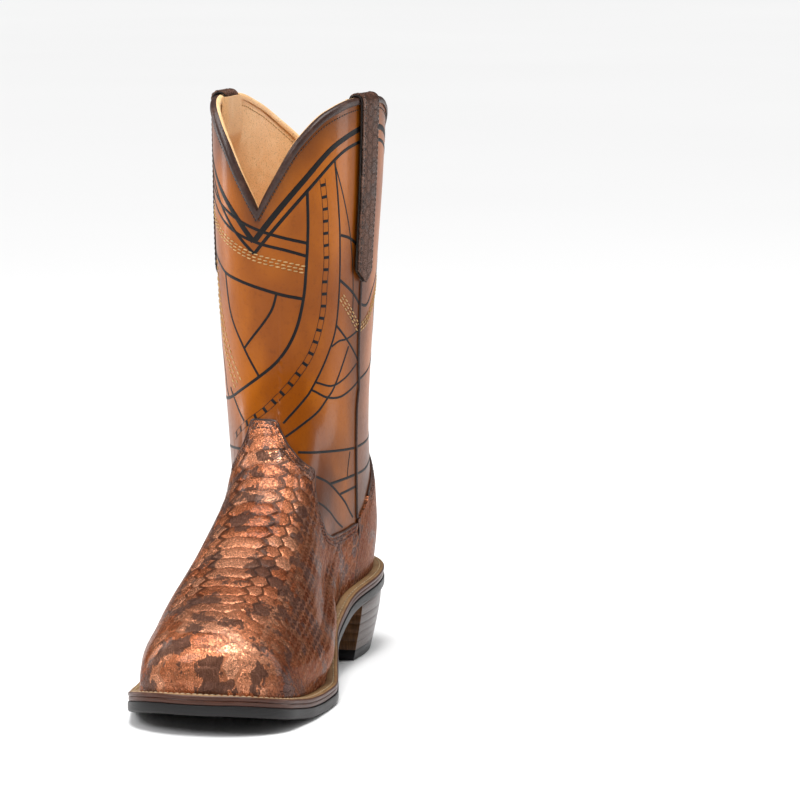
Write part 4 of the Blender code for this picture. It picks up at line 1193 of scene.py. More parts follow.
# ---------------------------------------------------------------- the leather of the foot
@dataclass
class FootLeather:
    """The vamp and the heel's counter cover, with their scales, edges and stitches."""

    last: Last
    stitcher: Stitcher
    outside: float = 0.0030
    thickness: float = 0.0021
    lasting_margin: float = 0.009
    groove: float = 0.00026
    dome: float = 0.00020
    edge_drop: float = 0.0010
    scute_pitch: float = 0.0098
    small_from: float = 0.0295
    columns_line: Outline = (
        (0.0000, 0.000), (0.0095, 0.289), (0.0120, 0.433), (0.0142, 0.577), (0.0215, 1.299), (0.0295, 2.165),
        (0.0365, 3.031),
    )
    small_width: float = 0.0044
    small_pitch: float = 0.0041
    seam_gap: float = 0.0006
    bead_radius: float = 0.00085
    bead_end: tuple[float, float] = (0.660, 0.0805)

    def __post_init__(self) -> None:
        """Finds the ridge that the scales are counted along."""
        self.ridge_line = self.last.table[self.last.table_turns // 2][::2]
        self.ridge_run = lengths(self.ridge_line)

    def _places(self, points: Points) -> tuple[np.ndarray, np.ndarray]:
        """How far round from the ridge, and how far along it, each point lies."""
        flat = points.reshape(-1, 3)
        run, top = np.empty(len(flat)), np.empty((len(flat), 3))
        for part in np.array_split(np.arange(len(flat)), 12):
            apart = ((flat[part, None] - self.ridge_line[None]) ** 2).sum(2)
            weight = np.exp(-(apart - apart.min(1, keepdims=True)) / 0.010**2)
            weight /= weight.sum(1, keepdims=True)
            run[part] = weight @ self.ridge_run
            top[part] = weight @ self.ridge_line
        aside, drop = flat[:, 0] - top[:, 0], np.maximum(top[:, 2] - flat[:, 2], 0)
        round_it = np.sign(aside) * (np.abs(aside) ** 1.5 + drop**1.5) ** (1 / 1.5)
        shape = points.shape[:2]
        return round_it.reshape(shape), run.reshape(shape)

    @staticmethod
    def _wobble(a: np.ndarray, b: np.ndarray) -> np.ndarray:
        """Slow waves that keep rows of scales from looking ruled."""
        return (
            np.sin(a * 310 + 1.7 * np.sin(b * 190)) * 0.5
            + np.sin(b * 270 - a * 130 + 0.8) * 0.35
            + np.sin(a * 640 + b * 520 + 2.1) * 0.15
        )

    def _vamp_scales(self, round_it: np.ndarray, run: np.ndarray) -> tuple[np.ndarray, np.ndarray]:
        """Places in the scutes' lattice, and in the small side scales' lattice."""
        aside = np.abs(round_it)
        large = smooth_curve(self.columns_line)(aside) * np.sign(round_it)
        wave = self._wobble(round_it, run)
        arch = 0.22 * (np.minimum(aside, 0.034) / 0.014) ** 1.6
        along = run / self.scute_pitch + arch * 0.30 + wave * 0.07
        small = np.sign(round_it) * (aside - self.small_from) / self.small_width * 0.866
        small_along = run / self.small_pitch + aside * 40 + wave * 0.12
        return (np.stack([large + wave * 0.05, along], -1), np.stack([small + wave * 0.07 + 0.43, small_along], -1))

    def _relief(self, place: np.ndarray) -> np.ndarray:
        """Height of embossed scales over the bottom of their grooves."""
        period = np.array([math.sqrt(3), 1.0])
        first = (place + period / 2) % period - period / 2
        second = place % period - period / 2
        near = (first**2).sum(-1) < (second**2).sum(-1)
        local = np.where(near[..., None], first, second)
        size = np.abs(local)
        edge = 0.5 - np.maximum(size[..., 1], size @ [0.866, 0.5])
        step = smooth_step(0.0, 0.13, edge) * self.groove
        return step + self.dome * np.sqrt(np.clip(edge / 0.5, 0, 1)) - self.dome * 0.30 * local[..., 1]

    def _skin(
        self, name: str, points: Points, places: tuple[np.ndarray, np.ndarray], far: np.ndarray, grain: np.ndarray,
        edge: np.ndarray, quiet: np.ndarray,
    ) -> bpy.types.Object:
        """One embossed piece, turned under the foot at its lower edge.

        Args:
            name: the piece's name.
            points: rows of points of the last.
            places: places in the large and the small lattice.
            far: where the small lattice holds.
            grain: real distances round and along, in centimetres.
            edge: distance from the piece's edges.
            quiet: how much of the relief is left.

        Returns:
            The closed piece.
        """
        relief = np.where(far, self._relief(places[1]) * 0.45, self._relief(places[0]))
        relief = relief - np.where(far, 0.45, 1.0) * (self.groove + self.dome)
        lift = self.height_at(self._below_top(points)) + relief * smooth_step(0.0005, 0.0045, edge) * quiet
        outer = self.last.raised(points, lift)
        outward = self.last.normal(points[0]) * [1, 1, 0]
        outward = unit(outward)
        turned = []
        for share in (1.0, 0.5, 0.0):
            row = points[0] - outward * self.lasting_margin * share
            row[:, 2] = self.last.feather_height(row[:, 1]) - self.outside
            turned.append(row + self.last.shift)
        grid = np.concatenate([np.stack(turned), outer])

        def padded(values: np.ndarray) -> np.ndarray:
            """Repeats the lowest row for the turned-under margin."""
            return np.concatenate([np.repeat(values[:1], 3, axis=0), values])

        big, small, wide = (padded(v) for v in (*places, far))
        piece = Bench.bare_grid(name, grid)
        layer = piece.data.uv_layers.new(name="scales")
        corner = np.empty(len(piece.data.loops), np.int32)
        piece.data.loops.foreach_get("vertex_index", corner)
        beyond = wide.reshape(-1)[corner].reshape(-1, 4).mean(1) > 0.5
        beyond = np.repeat(beyond, 4)[:, None]
        offset = np.array([60.0, 40.0])
        chosen = np.where(beyond, small.reshape(-1, 2)[corner] + offset, big.reshape(-1, 2)[corner])
        layer.data.foreach_set("uv", chosen.astype(np.float32).reshape(-1))
        Bench.lay_out(piece, "grain", padded(grain))
        Bench.modify(piece, "SOLIDIFY", thickness=self.thickness, offset=-1.0)
        return Bench.finish(piece, 60)

    def height_at(self, below_top: np.ndarray | float) -> np.ndarray:
        """The leather's outside, which is pared thinner towards its top edge."""
        return self.outside - self.edge_drop * (1 - smooth_step(0.0, 0.012, np.asarray(below_top, float)))

    @staticmethod
    def _below_top(points: Points) -> np.ndarray:
        """Distance down each column from its top."""
        steps = np.linalg.norm(np.diff(points, axis=0), axis=2)
        return np.concatenate([np.cumsum(steps[::-1], 0)[::-1], np.zeros((1, points.shape[1]))])

    @staticmethod
    def _edge_distance(points: Points) -> np.ndarray:
        """Distance to the patch's top and side edges."""
        below = FootLeather._below_top(points)
        across = np.linalg.norm(np.diff(points, axis=1), axis=2)
        left = np.concatenate([np.zeros((len(points), 1)), np.cumsum(across, 1)], 1)
        return np.minimum(below, np.minimum(left, left[:, -1:] - left))

    def _vamp(self) -> None:
        """The vamp, from the tongue to the side seams."""
        sides, _ = self.last.panel_sides(self.seam_gap / SHAFT_GIRTH / 2)
        points, _ = self.last.patch(sides, self.last.feather_z, VAMP_TOP, 361, 122, 1.12)
        points = self.last.settle(points)
        round_it, run = self._places(points)
        places = self._vamp_scales(round_it, run)
        grain = np.stack([round_it, run], -1) * 100
        quiet = 0.35 + 0.65 * smooth_step(-0.128, -0.088, points[..., 1])
        quiet = quiet * (1 - 0.4 * smooth_step(0.0, 0.012, 0.012 - (points[..., 2] - points[:1, :, 2])))
        edge = self._edge_distance(points)
        far = np.abs(round_it) > self.small_from
        piece = self._skin("vamp_leather", points, places, far, grain, edge, quiet)
        hand_over(piece, PYTHON, replaced=("vamp",))

    def _counter(self) -> None:
        """The counter cover round the heel."""
        _, sides = self.last.panel_sides(self.seam_gap / SHAFT_GIRTH / 2)
        points, turn = self.last.patch(sides, self.last.feather_z, COUNTER_TOP, 231, 81)
        points = self.last.settle(points)
        run = points[..., 2] + 0.012 * (turn - 1) ** 2
        round_it = (turn - 1) * 0.36
        wave = self._wobble(round_it, run)
        place = np.stack([round_it / self.small_width * 0.866 + wave * 0.07, run / self.small_pitch + wave * 0.1], -1)
        grain = np.stack([round_it, run], -1) * 100 + [31.0, 17.0]
        edge = self._edge_distance(points)
        far = np.ones(turn.shape, bool)
        piece = self._skin("counter_leather", points, (place, place), far, grain, edge, np.full(turn.shape, 0.9))
        hand_over(piece, PYTHON, replaced=("heel_counter_cover",))

    def _bead(self, name: str, line: Points) -> None:
        """A rolled dark edge along the leather's cut."""
        lift = float(self.height_at(0.0)) - self.bead_radius * 0.80
        hand_over(self.stitcher.cord(name, line, lift, self.bead_radius, 8), TRIM)

    def _double_row(self, name: str, edge: Points) -> None:
        """Two rows of stitches beside an edge."""
        frames = [
            self.stitcher.along(
                self.last.beside(edge, -away), float(self.height_at(away)) + 0.0001, 0.0024,
                (0.0020, 0.00080, 0.00080), 0.18,
            )
            for away in (0.0020, 0.0045)
        ]
        piece = Bench.repeat(name, self.stitcher.stitch_shape(), np.concatenate(frames))
        hand_over(piece, BROWN_THREAD)

    def _edges(self) -> None:
        """Rolled edges and double rows of stitches along the vamp's and the counter's tops."""
        right = [*WING, self.bead_end]
        whole = [(-t, z) for t, z in reversed(right)] + right
        line = self.last.trace(whole, 0.0008, smooth=False)
        soft = line.copy()
        for _ in range(6):
            soft[1:-1] = (soft[:-2] + 2 * soft[1:-1] + soft[2:]) / 4
        line = self.last.settle(soft)
        self._bead("vamp_edge_bead", line)
        self._double_row("vamp_stitches", line)
        turn = np.linspace(0.722, 1.278, 60)
        heel = [(t, float(COUNTER_TOP(t))) for t in turn]
        line = self.last.trace(heel, 0.0008, smooth=False)
        self._bead("counter_edge_bead", line)
        self._double_row("counter_stitches", line)
        for side, name in ((1, "inner"), (-1, "outer")):
            z = np.linspace(0.0355, 0.0775, 24)
            seam = self.last.trace([(side * float(self.last.seam_turn(h)), h) for h in z], 0.0010, smooth=False)
            self.stitcher.row(
                f"heel_seam_cord_{name}", [seam], self.outside - 0.0004, DARK_THREAD, Slot.TRIM,
                0.0022, (0.0026, 0.0011, 0.0010), 0.0,
            )

    def build(self) -> None:
        """Builds and dresses the foot's leather."""
        self._vamp()
        self._counter()
        self._edges()


# ---------------------------------------------------------------- the shaft
PrintedLine = tuple[Outline, float]


@dataclass
class Shaft:
    """The shaft's polished panels, side piping, printed lines and stitches."""

    last: Last
    stitcher: Stitcher
    outside: float = 0.0007
    thickness: float = 0.0015
    underlap: float = 0.012
    seam_gap: float = 0.00036
    lines: Sequence[PrintedLine] = (
        (((0.418, 0.3112), (0.33, 0.3068), (0.25, 0.2997), (0.14, 0.2806), (-0.0135, 0.2482)), 0.0033),
        (((-0.418, 0.3095), (-0.32, 0.3010), (-0.22, 0.2860), (-0.10, 0.2655), (-0.0165, 0.2482)), 0.0033),
        (((0.418, 0.3036), (0.33, 0.2998), (0.27, 0.2940), (0.165, 0.2770), (-0.0140, 0.2412)), 0.0020),
        (((-0.418, 0.3020), (-0.32, 0.2930), (-0.22, 0.2780), (-0.09, 0.2535), (-0.0160, 0.2412)), 0.0020),
        (
            (
                (-0.418, 0.2930), (-0.32, 0.2840), (-0.22, 0.2735), (-0.12, 0.2641), (-0.015, 0.2559),
                (0.075, 0.2511), (0.165, 0.2473),
            ), 0.0018,
        ),
        (
            (
                (-0.418, 0.2850), (-0.30, 0.2750), (-0.20, 0.2640), (-0.10, 0.2539), (0.0, 0.2474), (0.09, 0.2436),
                (0.165, 0.2398),
            ), 0.0018,
        ),
        (
            (
                (0.165, 0.2775), (0.170, 0.2547), (0.165, 0.2317), (0.155, 0.2145), (0.125, 0.1962),
                (0.070, 0.1813), (-0.010, 0.1700), (-0.115, 0.1599), (-0.22, 0.1550), (-0.34, 0.1535),
                (-0.455, 0.1540),
            ),
            0.0018,
        ),
        (
            (
                (-0.440, 0.2500), (-0.32, 0.2410), (-0.22, 0.2343), (-0.16, 0.2289), (-0.075, 0.2248),
                (0.020, 0.2204), (0.090, 0.2173), (0.155, 0.2151),
            ), 0.0019,
        ),
        (((-0.160, 0.2289), (-0.140, 0.2048), (-0.075, 0.1854), (-0.010, 0.1700)), 0.0014),
        (((0.060, 0.2180), (0.045, 0.2100), (0.015, 0.2024), (-0.075, 0.1859)), 0.0014),
        (
            (
                (0.270, 0.2938), (0.290, 0.2707), (0.305, 0.2499), (0.310, 0.2164), (0.295, 0.1957),
                (0.255, 0.1817), (0.200, 0.1675), (0.145, 0.1552), (0.080, 0.1443),
            ), 0.0013,
        ),
        (((0.275, 0.2898), (0.320, 0.2704), (0.365, 0.2474), (0.395, 0.2174), (0.397, 0.1980)), 0.0009),
        (
            ((0.375, 0.1851), (0.300, 0.1661), (0.260, 0.1575), (0.230, 0.1508), (0.160, 0.1435), (0.090, 0.1369)),
            0.0013,
        ),
        (((0.310, 0.2504), (0.360, 0.2480), (0.409, 0.2435)), 0.0017),
        (((0.312, 0.2244), (0.395, 0.2157), (0.448, 0.2085)), 0.0017),
        (((0.668, 0.2247), (0.580, 0.2144), (0.520, 0.2070), (0.452, 0.2085)), 0.0017),
        (((0.300, 0.1982), (0.360, 0.1895), (0.435, 0.1784), (0.452, 0.1755)), 0.0014),
        (((0.275, 0.1863), (0.315, 0.1890), (0.360, 0.1895), (0.450, 0.1935)), 0.0012),
        (((0.200, 0.1666), (0.270, 0.1636), (0.350, 0.1669), (0.440, 0.1739)), 0.0012),
        (((0.180, 0.1626), (0.245, 0.1577), (0.330, 0.1565), (0.420, 0.1611), (0.460, 0.1635)), 0.0013),
        (((0.150, 0.1284), (0.270, 0.1271), (0.400, 0.1260), (0.555, 0.1250)), 0.0015),
        (((0.575, 0.1250), (0.675, 0.1262), (0.760, 0.1290), (0.870, 0.1340), (1.000, 0.1370)), 0.0015),
        (((0.400, 0.1081), (0.500, 0.1087), (0.600, 0.1094)), 0.0016),
        (((0.616, 0.1094), (0.685, 0.1103), (0.770, 0.1150), (0.860, 0.1210)), 0.0015),
        (((0.515, 0.1008), (0.560, 0.1014), (0.622, 0.1024)), 0.0015),
        (((0.270, 0.1141), (0.415, 0.1068), (0.560, 0.0961), (0.642, 0.0850)), 0.0015),
        (((0.295, 0.1006), (0.400, 0.0950), (0.470, 0.0907), (0.590, 0.0812)), 0.0013),
        (((0.520, 0.1237), (0.530, 0.1156), (0.545, 0.1080)), 0.0010),
        (((-0.180, 0.1616), (-0.140, 0.1495), (-0.105, 0.1441)), 0.0014),
        (((-0.150, 0.1284), (-0.270, 0.1271), (-0.400, 0.1260), (-0.555, 0.1250)), 0.0015),
        (((-0.270, 0.1141), (-0.415, 0.1068), (-0.560, 0.0961), (-0.642, 0.0850)), 0.0015),
        (((-0.320, 0.2410), (-0.335, 0.2150), (-0.310, 0.1900), (-0.250, 0.1700), (-0.230, 0.1552)), 0.0014),
        (((-0.335, 0.2150), (-0.400, 0.2080), (-0.448, 0.2050)), 0.0014),
    )
    ladder: Outline = (
        (0.2200, 0.2835), (0.2350, 0.2656), (0.2400, 0.2512), (0.2450, 0.2368), (0.2400, 0.2230), (0.2350, 0.2086),
        (0.2150, 0.1955), (0.1800, 0.1826), (0.1350, 0.1724), (0.0850, 0.1625), (0.0150, 0.1522), (-0.0600, 0.1452),
        (-0.1400, 0.1392), (-0.2300, 0.1335),
    )
    ladder_pitch: float = 0.0068
    ladder_width: float = 0.0036
    triple_front: Outline = (
        (-0.430, 0.2740), (-0.32, 0.2650), (-0.22, 0.2557), (-0.115, 0.2463), (-0.015, 0.2392), (0.075, 0.2355),
        (0.161, 0.2319),
    )
    triple_side: Outline = ((0.322, 0.2150), (0.345, 0.2105), (0.395, 0.2024), (0.448, 0.1940))
    triple_back: Outline = (
        (0.456, 0.1940), (0.540, 0.1990), (0.640, 0.2120), (0.760, 0.2230), (0.880, 0.2290), (1.000, 0.2305),
    )
    fan: Sequence[Outline] = (
        ((-0.262, 0.2350), (-0.245, 0.2200), (-0.225, 0.2053), (-0.178, 0.1859), (-0.095, 0.1665)),
        ((-0.275, 0.2250), (-0.245, 0.2040), (-0.212, 0.1866), (-0.118, 0.1643)),
        ((-0.285, 0.2150), (-0.250, 0.1960), (-0.205, 0.1784), (-0.137, 0.1613)),
    )
    row_gap: float = 0.0019
    piping_low: float = 0.0838
    piping_radius: float = 0.00085

    def _panel(self, name: str, node: str, sides: tuple[Curve, Curve], low: Curve, across: int, rows: int) -> None:
        """One polished panel between the side seams."""
        points, turn = self.last.patch(sides, low, TOPLINE, across, rows)
        points = self.last.settle(points)
        seam_turn = self.last.seam_turn(points[..., 2])
        seam = np.minimum(np.abs(turn - seam_turn), np.abs(2 - turn - seam_turn))
        seam = np.minimum(seam, np.abs(turn + seam_turn))
        below = np.maximum(TOPLINE(turn) - points[..., 2], 0)
        maps = {"round": np.stack([seam * SHAFT_GIRTH, below], -1)}
        piece = Bench.sheet(name, self.last.raised(points, self.outside), self.thickness, maps)
        hand_over(piece, COGNAC, replaced=(node,))

    def _panels(self) -> None:
        """The front and the back panel."""
        front, back = self.last.panel_sides(self.seam_gap / SHAFT_GIRTH / 2)
        self._panel("shaft_front", "shaft_front_panel", front, lambda t: VAMP_TOP(t) - self.underlap, 181, 120)
        self._panel("shaft_back", "shaft_back_panel", back, lambda t: COUNTER_TOP(t) - self.underlap, 181, 120)

    def _piping(self, side: int, name: str, node: str) -> None:
        """The rolled cord in one side seam."""
        z = np.linspace(self.piping_low, 0.222, 80)
        line = self.last.settle(self.last.at(side * self.last.seam_turn(z), z))
        piece = self.stitcher.cord(f"side_piping_{name}", line, self.outside + 0.0003, self.piping_radius, 10)
        hand_over(piece, TRIM, replaced=(node,))

    def _back_lines(self) -> list[PrintedLine]:
        """The lines that follow the topline round the back, and the arcs under them."""
        turn = np.linspace(0.483, 1.517, 26)
        found = [
            ([(t, float(TOPLINE(t)) - drop - 0.004 * abs(t - 1)) for t in turn], width)
            for drop, width in ((0.0140, 0.0033), (0.0215, 0.0020))
        ]
        for side in (1, -1):
            arcs = (
                (((0.668, 0.2247), (0.760, 0.2400), (0.880, 0.2470), (1.000, 0.2485)), 0.0018),
                (((0.470, 0.1640), (0.600, 0.1690), (0.740, 0.1790), (0.880, 0.1860), (1.000, 0.1880)), 0.0015),
                (((0.640, 0.2120), (0.670, 0.1950), (0.740, 0.1790)), 0.0013),
            )
            found += [([(1 + side * (t - 1), z) for t, z in points], width) for points, width in arcs]
        return found

    def _print(self) -> None:
        """All printed lines, and the ladder's hairlines and rungs."""
        pieces = []
        for k, (points, width) in enumerate([*self.lines, *self._back_lines()]):
            path = self.last.trace(points, 0.0016)
            height = 0.00010 + 0.000012 * (k % 5)
            pieces.append(self.stitcher.ribbon(f"line_{k}", path, width, self.outside, height))
        hand_over(Bench.join("printed_lines", pieces), LINES)
        middle = self.last.trace(self.ladder, 0.0010)
        rails = []
        for k, side in enumerate((-1, 1)):
            rail = self.last.beside(middle, side * self.ladder_width / 2)
            rails.append(self.stitcher.ribbon(f"rail_{k}", rail, 0.00032, self.outside, 0.00008))
        hand_over(Bench.join("ladder_rails", rails), LINES)
        size = (0.0017, self.ladder_width, 0.00028)
        frames = self.stitcher.along(middle, self.outside, self.ladder_pitch, size, 0.0)
        hand_over(Bench.repeat("ladder_rungs", self.stitcher.rung_shape(), frames), LINES)

    def _sew(self) -> None:
        """The tan rows of decorative stitches."""
        rows = [self.last.trace(outline, 0.0008) for outline in self.fan]
        for outline in (self.triple_front, self.triple_side, self.triple_back):
            middle = self.last.trace(outline, 0.0008)
            rows += [self.last.beside(middle, k * self.row_gap) for k in (-1, 0, 1)]
        mirrored = [(2 - t, z) for t, z in self.triple_back]
        middle = self.last.trace(mirrored, 0.0008)
        rows += [self.last.beside(middle, k * self.row_gap) for k in (-1, 0, 1)]
        self.stitcher.row(
            "tan_stitches", rows, self.outside + 0.0001, TAN_THREAD, Slot.TRIM,
            0.0034, (0.0027, 0.00085, 0.00085), 0.16,
        )

    def build(self) -> None:
        """Builds and dresses the shaft."""
        self._panels()
        self._piping(1, "inner", "side_seam_piping_medial")
        self._piping(-1, "outer", "side_seam_piping_lateral")
        self._print()
        self._sew()


# ---------------------------------------------------------------- the top edge
@dataclass
class TopEdge:
    """The rolled binding over the shaft's top, and the stitches below it."""

    last: Last
    stitcher: Stitcher
    strap_turn: float = STRAP_TURN
    turned_in: float = -0.0015
    profile: Outline = (
        (0.95, -1.7), (1.35, -1.85), (1.68, -1.5), (1.82, -0.6), (1.76, 0.4), (1.40, 1.25), (0.75, 1.80),
        (-0.30, 2.05), (-1.80, 2.05), (-3.00, 1.80), (-3.80, 1.2), (-4.15, 0.2), (-4.15, -1.4), (-4.00, -1.85),
        (-3.60, -1.7), (-3.55, 0.9), (-1.30, 1.0), (0.95, 0.6),
    )

    def _binding(self, name: str, node: str, middle: float, end: float) -> None:
        """One half of the binding, from strap to strap round a dip in the topline."""
        half = np.concatenate([[0.026, 0.038], np.linspace(0.050, end, 44)])
        turn = middle + np.concatenate([-half[::-1], [0], half])
        line = self.last.settle(self.last.at(turn, TOPLINE(turn)))
        out = self.last.normal(line)
        along = unit(np.gradient(line, axis=0))
        up = np.cross(out, along)
        up *= np.sign(up[:, 2:3])
        corner = len(turn) // 2
        before = line[corner] - line[corner - 1]
        up[corner] = (0, 0, 1)
        reach = np.ones(len(turn))
        reach[corner] = 1 / max(math.hypot(before[0], before[1]) / np.linalg.norm(before), 0.6)
        shift, unit_size = self.last.shift, 1e-3
        rings = [
            line + out * d * unit_size + up * (h * unit_size * reach)[:, None] + shift for d, h in self.profile
        ]
        piece = hand_over(Bench.tube(name, np.stack(rings, 1), angle=50), TRIM, replaced=(node,))
        piece.data.materials.append(LINING.material())
        centres = np.array([polygon.center for polygon in piece.data.polygons]) - shift
        for polygon, far in zip(piece.data.polygons, self.last.distance(centres)):
            polygon.material_index = int(far < self.turned_in)

    def build(self) -> None:
        """Builds and dresses the binding and its stitches."""
        gap = 0.0010 / SHAFT_GIRTH
        self._binding("front_binding", "topline_binding_front", 0.0, self.strap_turn - gap)
        self._binding("back_binding", "topline_binding_back", 1.0, 1 - self.strap_turn - gap)
        sections = ((0.004, 0.388), (0.512, 0.997))
        outer, inner = [], []
        for low, high in sections:
            for side in (1, -1):
                turn = side * np.linspace(low, high, 60)
                outer.append(self.last.trace([(t, float(TOPLINE(t)) - 0.0048) for t in turn], 0.0008, False))
                inner.append(self.last.trace([(t, float(TOPLINE(t)) - 0.0052) for t in turn], 0.0008, False))
        self.stitcher.row(
            "binding_stitches", outer, 0.00085, DARK_THREAD, Slot.TRIM, 0.0021, (0.0014, 0.00065, 0.00055), 0.1
        )
        self.stitcher.row(
            "lining_stitches", inner, -0.0033, TAN_THREAD, Slot.LINING, 0.0024, (0.0018, 0.00060, 0.00050), 0.1
        )


# ---------------------------------------------------------------- the pull straps
@dataclass
class PullStrap:
    """One pull strap: a scaled face on a black backing, sewn outside and inside the topline."""

    last: Last
    stitcher: Stitcher
    side: int
    name: str
    node_end: str
    body: Body
    turn: float = STRAP_TURN
    width: float = 0.0235
    face_inset: float = 0.0011
    tip_z: float = 0.2215
    point: float = 0.0075
    outside: float = 0.0021
    inside: float = -0.0047
    arch_z: float = 0.3262
    arch: float = 0.0028
    inside_z: float = 0.3040
    bend_start: float = 0.3185
    bend_end: float = 0.3300

    def _route(self, lift: float) -> tuple[np.ndarray, np.ndarray]:
        """Heights, and distances from the last, along the strap this far from its inner face."""
        angle = np.linspace(0, math.pi, 27)[1:-1]
        middle, half = (self.outside + self.inside) / 2, (self.outside - self.inside) / 2
        out_leg = np.linspace(self.tip_z, self.arch_z, 84)
        in_leg = np.linspace(self.arch_z, self.inside_z, 16)
        z = np.concatenate([out_leg, self.arch_z + (self.arch + lift) * np.sin(angle), in_leg])
        distance = np.concatenate(
            [
                np.full(len(out_leg), self.outside + lift),
                middle + (half + lift) * np.cos(angle),
                np.full(len(in_leg), self.inside - lift),
            ]
        )
        return z, distance

    def _layer(self, lift: float, width: float, crown: float) -> tuple[Points, np.ndarray]:
        """Points of a layer's outer face, and their places along and across it in metres."""
        z, distance = self._route(lift)
        across = np.linspace(-0.5, 0.5, 23)
        turn = self.side * self.turn + across[None] * width / SHAFT_GIRTH + 0 * z[:, None]
        height = z[:, None] + 0 * turn
        rise = np.clip((self.tip_z + 0.016 - z) / 0.016, 0, 1)[:, None] ** 2
        height = height + self.point * np.abs(across * 2) ** 1.2 * rise
        points = self.last.settle(self.last.at(turn, height))
        bulge = crown * (1 - (across * 2) ** 6)
        raised = self.last.raised(points, distance[:, None] + bulge[None])
        run = lengths(raised[:, 11])
        place = np.stack([across[None] * width + 0 * z[:, None], run[:, None] + 0 * turn], -1)
        return raised, place

    def _face(self) -> None:
        """The scaled face and the backing that shows round it."""
        body = self.body
        points, place = self._layer(0.0008, self.width, 0.0)
        backing = Bench.sheet(f"strap_backing_{self.name}", points, 0.0008, {"grain": place * 100})
        hand_over(backing, BLACK_TRIM, body, (f"pull_strap_backing_{self.node_end}",))
        points, place = self._layer(0.0016, self.width - 2 * self.face_inset, 0.0006)
        scales = place / np.array([0.0066, 0.0074]) * np.array([0.866, 1.0])
        maps = {"scales": scales + [3.0, 9.0 + 5 * self.side], "grain": place * 100 + [7.0, 11.0 * self.side]}
        face = Bench.sheet(f"strap_face_{self.name}", points, 0.0007, maps)
        hand_over(face, STRAP_PYTHON, body, (f"pull_strap_{self.node_end}",))
        for piece in (backing, face):
            self._bend(piece)

    def _bend(self, piece: bpy.types.Object) -> None:
        """Takes the piece off its body and bakes its placement into its mesh."""
        middle = self.last.at(self.side * self.turn, self.arch_z)
        piece.parent = None
        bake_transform(piece)

    def _sew(self) -> None:
        """A row of black stitches near each long edge."""
        points, _ = self._layer(0.0016, self.width - 2 * self.face_inset, 0.0006)
        frames = []
        for column in (2, 20):
            line = points[2:-2, column]
            at, run = marks_along(line, 0.0030), lengths(line)
            middle, ahead = sampled(line, at), sampled(line, at + 0.0008)
            opposite = np.stack([np.interp(at, run, values) for values in points[2:-2, 22 - column].T], -1)
            across, way = unit(opposite - middle), unit(ahead - middle)
            across = unit(across - way * (across * way).sum(-1, keepdims=True))
            out = np.cross(way, across)
            frames.append(np.stack([middle, way * 0.0010, across * 0.00035, out * 0.00025], 1))
        piece = Bench.repeat(f"strap_stitches_{self.name}", self.stitcher.stitch_shape(), np.concatenate(frames))
        Bench.edit(piece, (bpy.ops.mesh.normals_make_consistent, {"inside": False}))
        hand_over(piece, DARK_THREAD, self.body)
        self._bend(piece)

    def build(self) -> None:
        """Builds and dresses the strap."""
        self._face()
        self._sew()


# ---------------------------------------------------------------- the lining
@dataclass
class Lining:
    """The smooth cream lining of the shaft and the foot, and the tabs over the straps' ends."""

    last: Last
    face: float = -0.0021
    thickness: float = 0.0011
    split_z: float = 0.122
    split_gap: float = 0.0004
    seam_gap: float = 0.0038
    foot_gap: float = 0.0008
    tab_low: float = 0.236
    tab_high: float = 0.3270
    tab_width: float = 0.0350
    tab_thickness: float = 0.0006
    tab_rise: float = 0.0032

    def _creases(self, points: Points) -> np.ndarray:
        """Low waves of soft leather, a fraction of a millimetre deep."""
        x, y, z = points[..., 0], points[..., 1], points[..., 2]
        wave = np.sin(z * 95 + 3 * np.sin(y * 60 + x * 40)) * 0.00018
        fold = np.exp(-(((z - 0.262 + 0.25 * (y - 0.10)) / 0.0022) ** 2)) * 0.00022
        return wave - fold

    def _sheet(
        self, name: str, node: str, sides: tuple[Curve, Curve], low: Curve, high: Curve, across: int, rows: int
    ) -> None:
        """One lining piece."""
        points, _ = self.last.patch(sides, low, high, across, rows, 1.1)
        points = self.last.settle(points)
        quiet = smooth_step(0.0, 0.008, points[-1:, :, 2] - points[..., 2])
        inner = self.face - self.thickness + self._creases(points) * quiet * 0.4
        grid = self.last.raised(points, inner)[:, ::-1]
        piece = Bench.sheet(name, grid, self.thickness * 0.9)
        hand_over(piece, LINING, replaced=(node,))

    def build(self) -> None:
        """Builds and dresses the lining."""
        front, back = self.last.panel_sides(self.seam_gap / SHAFT_GIRTH / 2)
        foot, _ = self.last.panel_sides(self.foot_gap)
        above = both_sides(((0.0, self.split_z + self.split_gap), (1.0, self.split_z + self.split_gap)))
        split = both_sides(((0.0, self.split_z), (1.0, self.split_z)))
        self._sheet("lining_front", "shaft_lining_front", front, above, TOPLINE, 121, 70)
        self._sheet("lining_back", "shaft_lining_back", back, self.last.feather_z, TOPLINE, 121, 90)
        self._sheet("lining_foot", "vamp_lining", foot, self.last.feather_z, split, 161, 60)
        for side, name in ((1, "inner"), (-1, "outer")):
            self._tab(side, name)

    def _tab(self, side: int, name: str) -> None:
        """A lining strip sewn over the strap's inner end and up the side seam."""
        z = np.linspace(self.tab_low, self.tab_high, 70)[:, None]
        across = np.linspace(-1, 1, 15)[None]
        turn = side * STRAP_TURN + across * (self.tab_width / 2 + 0 * z) / SHAFT_GIRTH
        points = self.last.settle(self.last.at(turn, z))
        over = smooth_step(0.294, 0.306, points[..., 2]) * smooth_step(1.0, 0.78, np.abs(across) + 0 * z)
        inner = self.face - self.thickness - 0.0007 - self.tab_rise * over
        piece = Bench.sheet(f"lining_tab_{name}", self.last.raised(points, inner)[:, ::-1], self.tab_thickness)
        hand_over(piece, LINING)


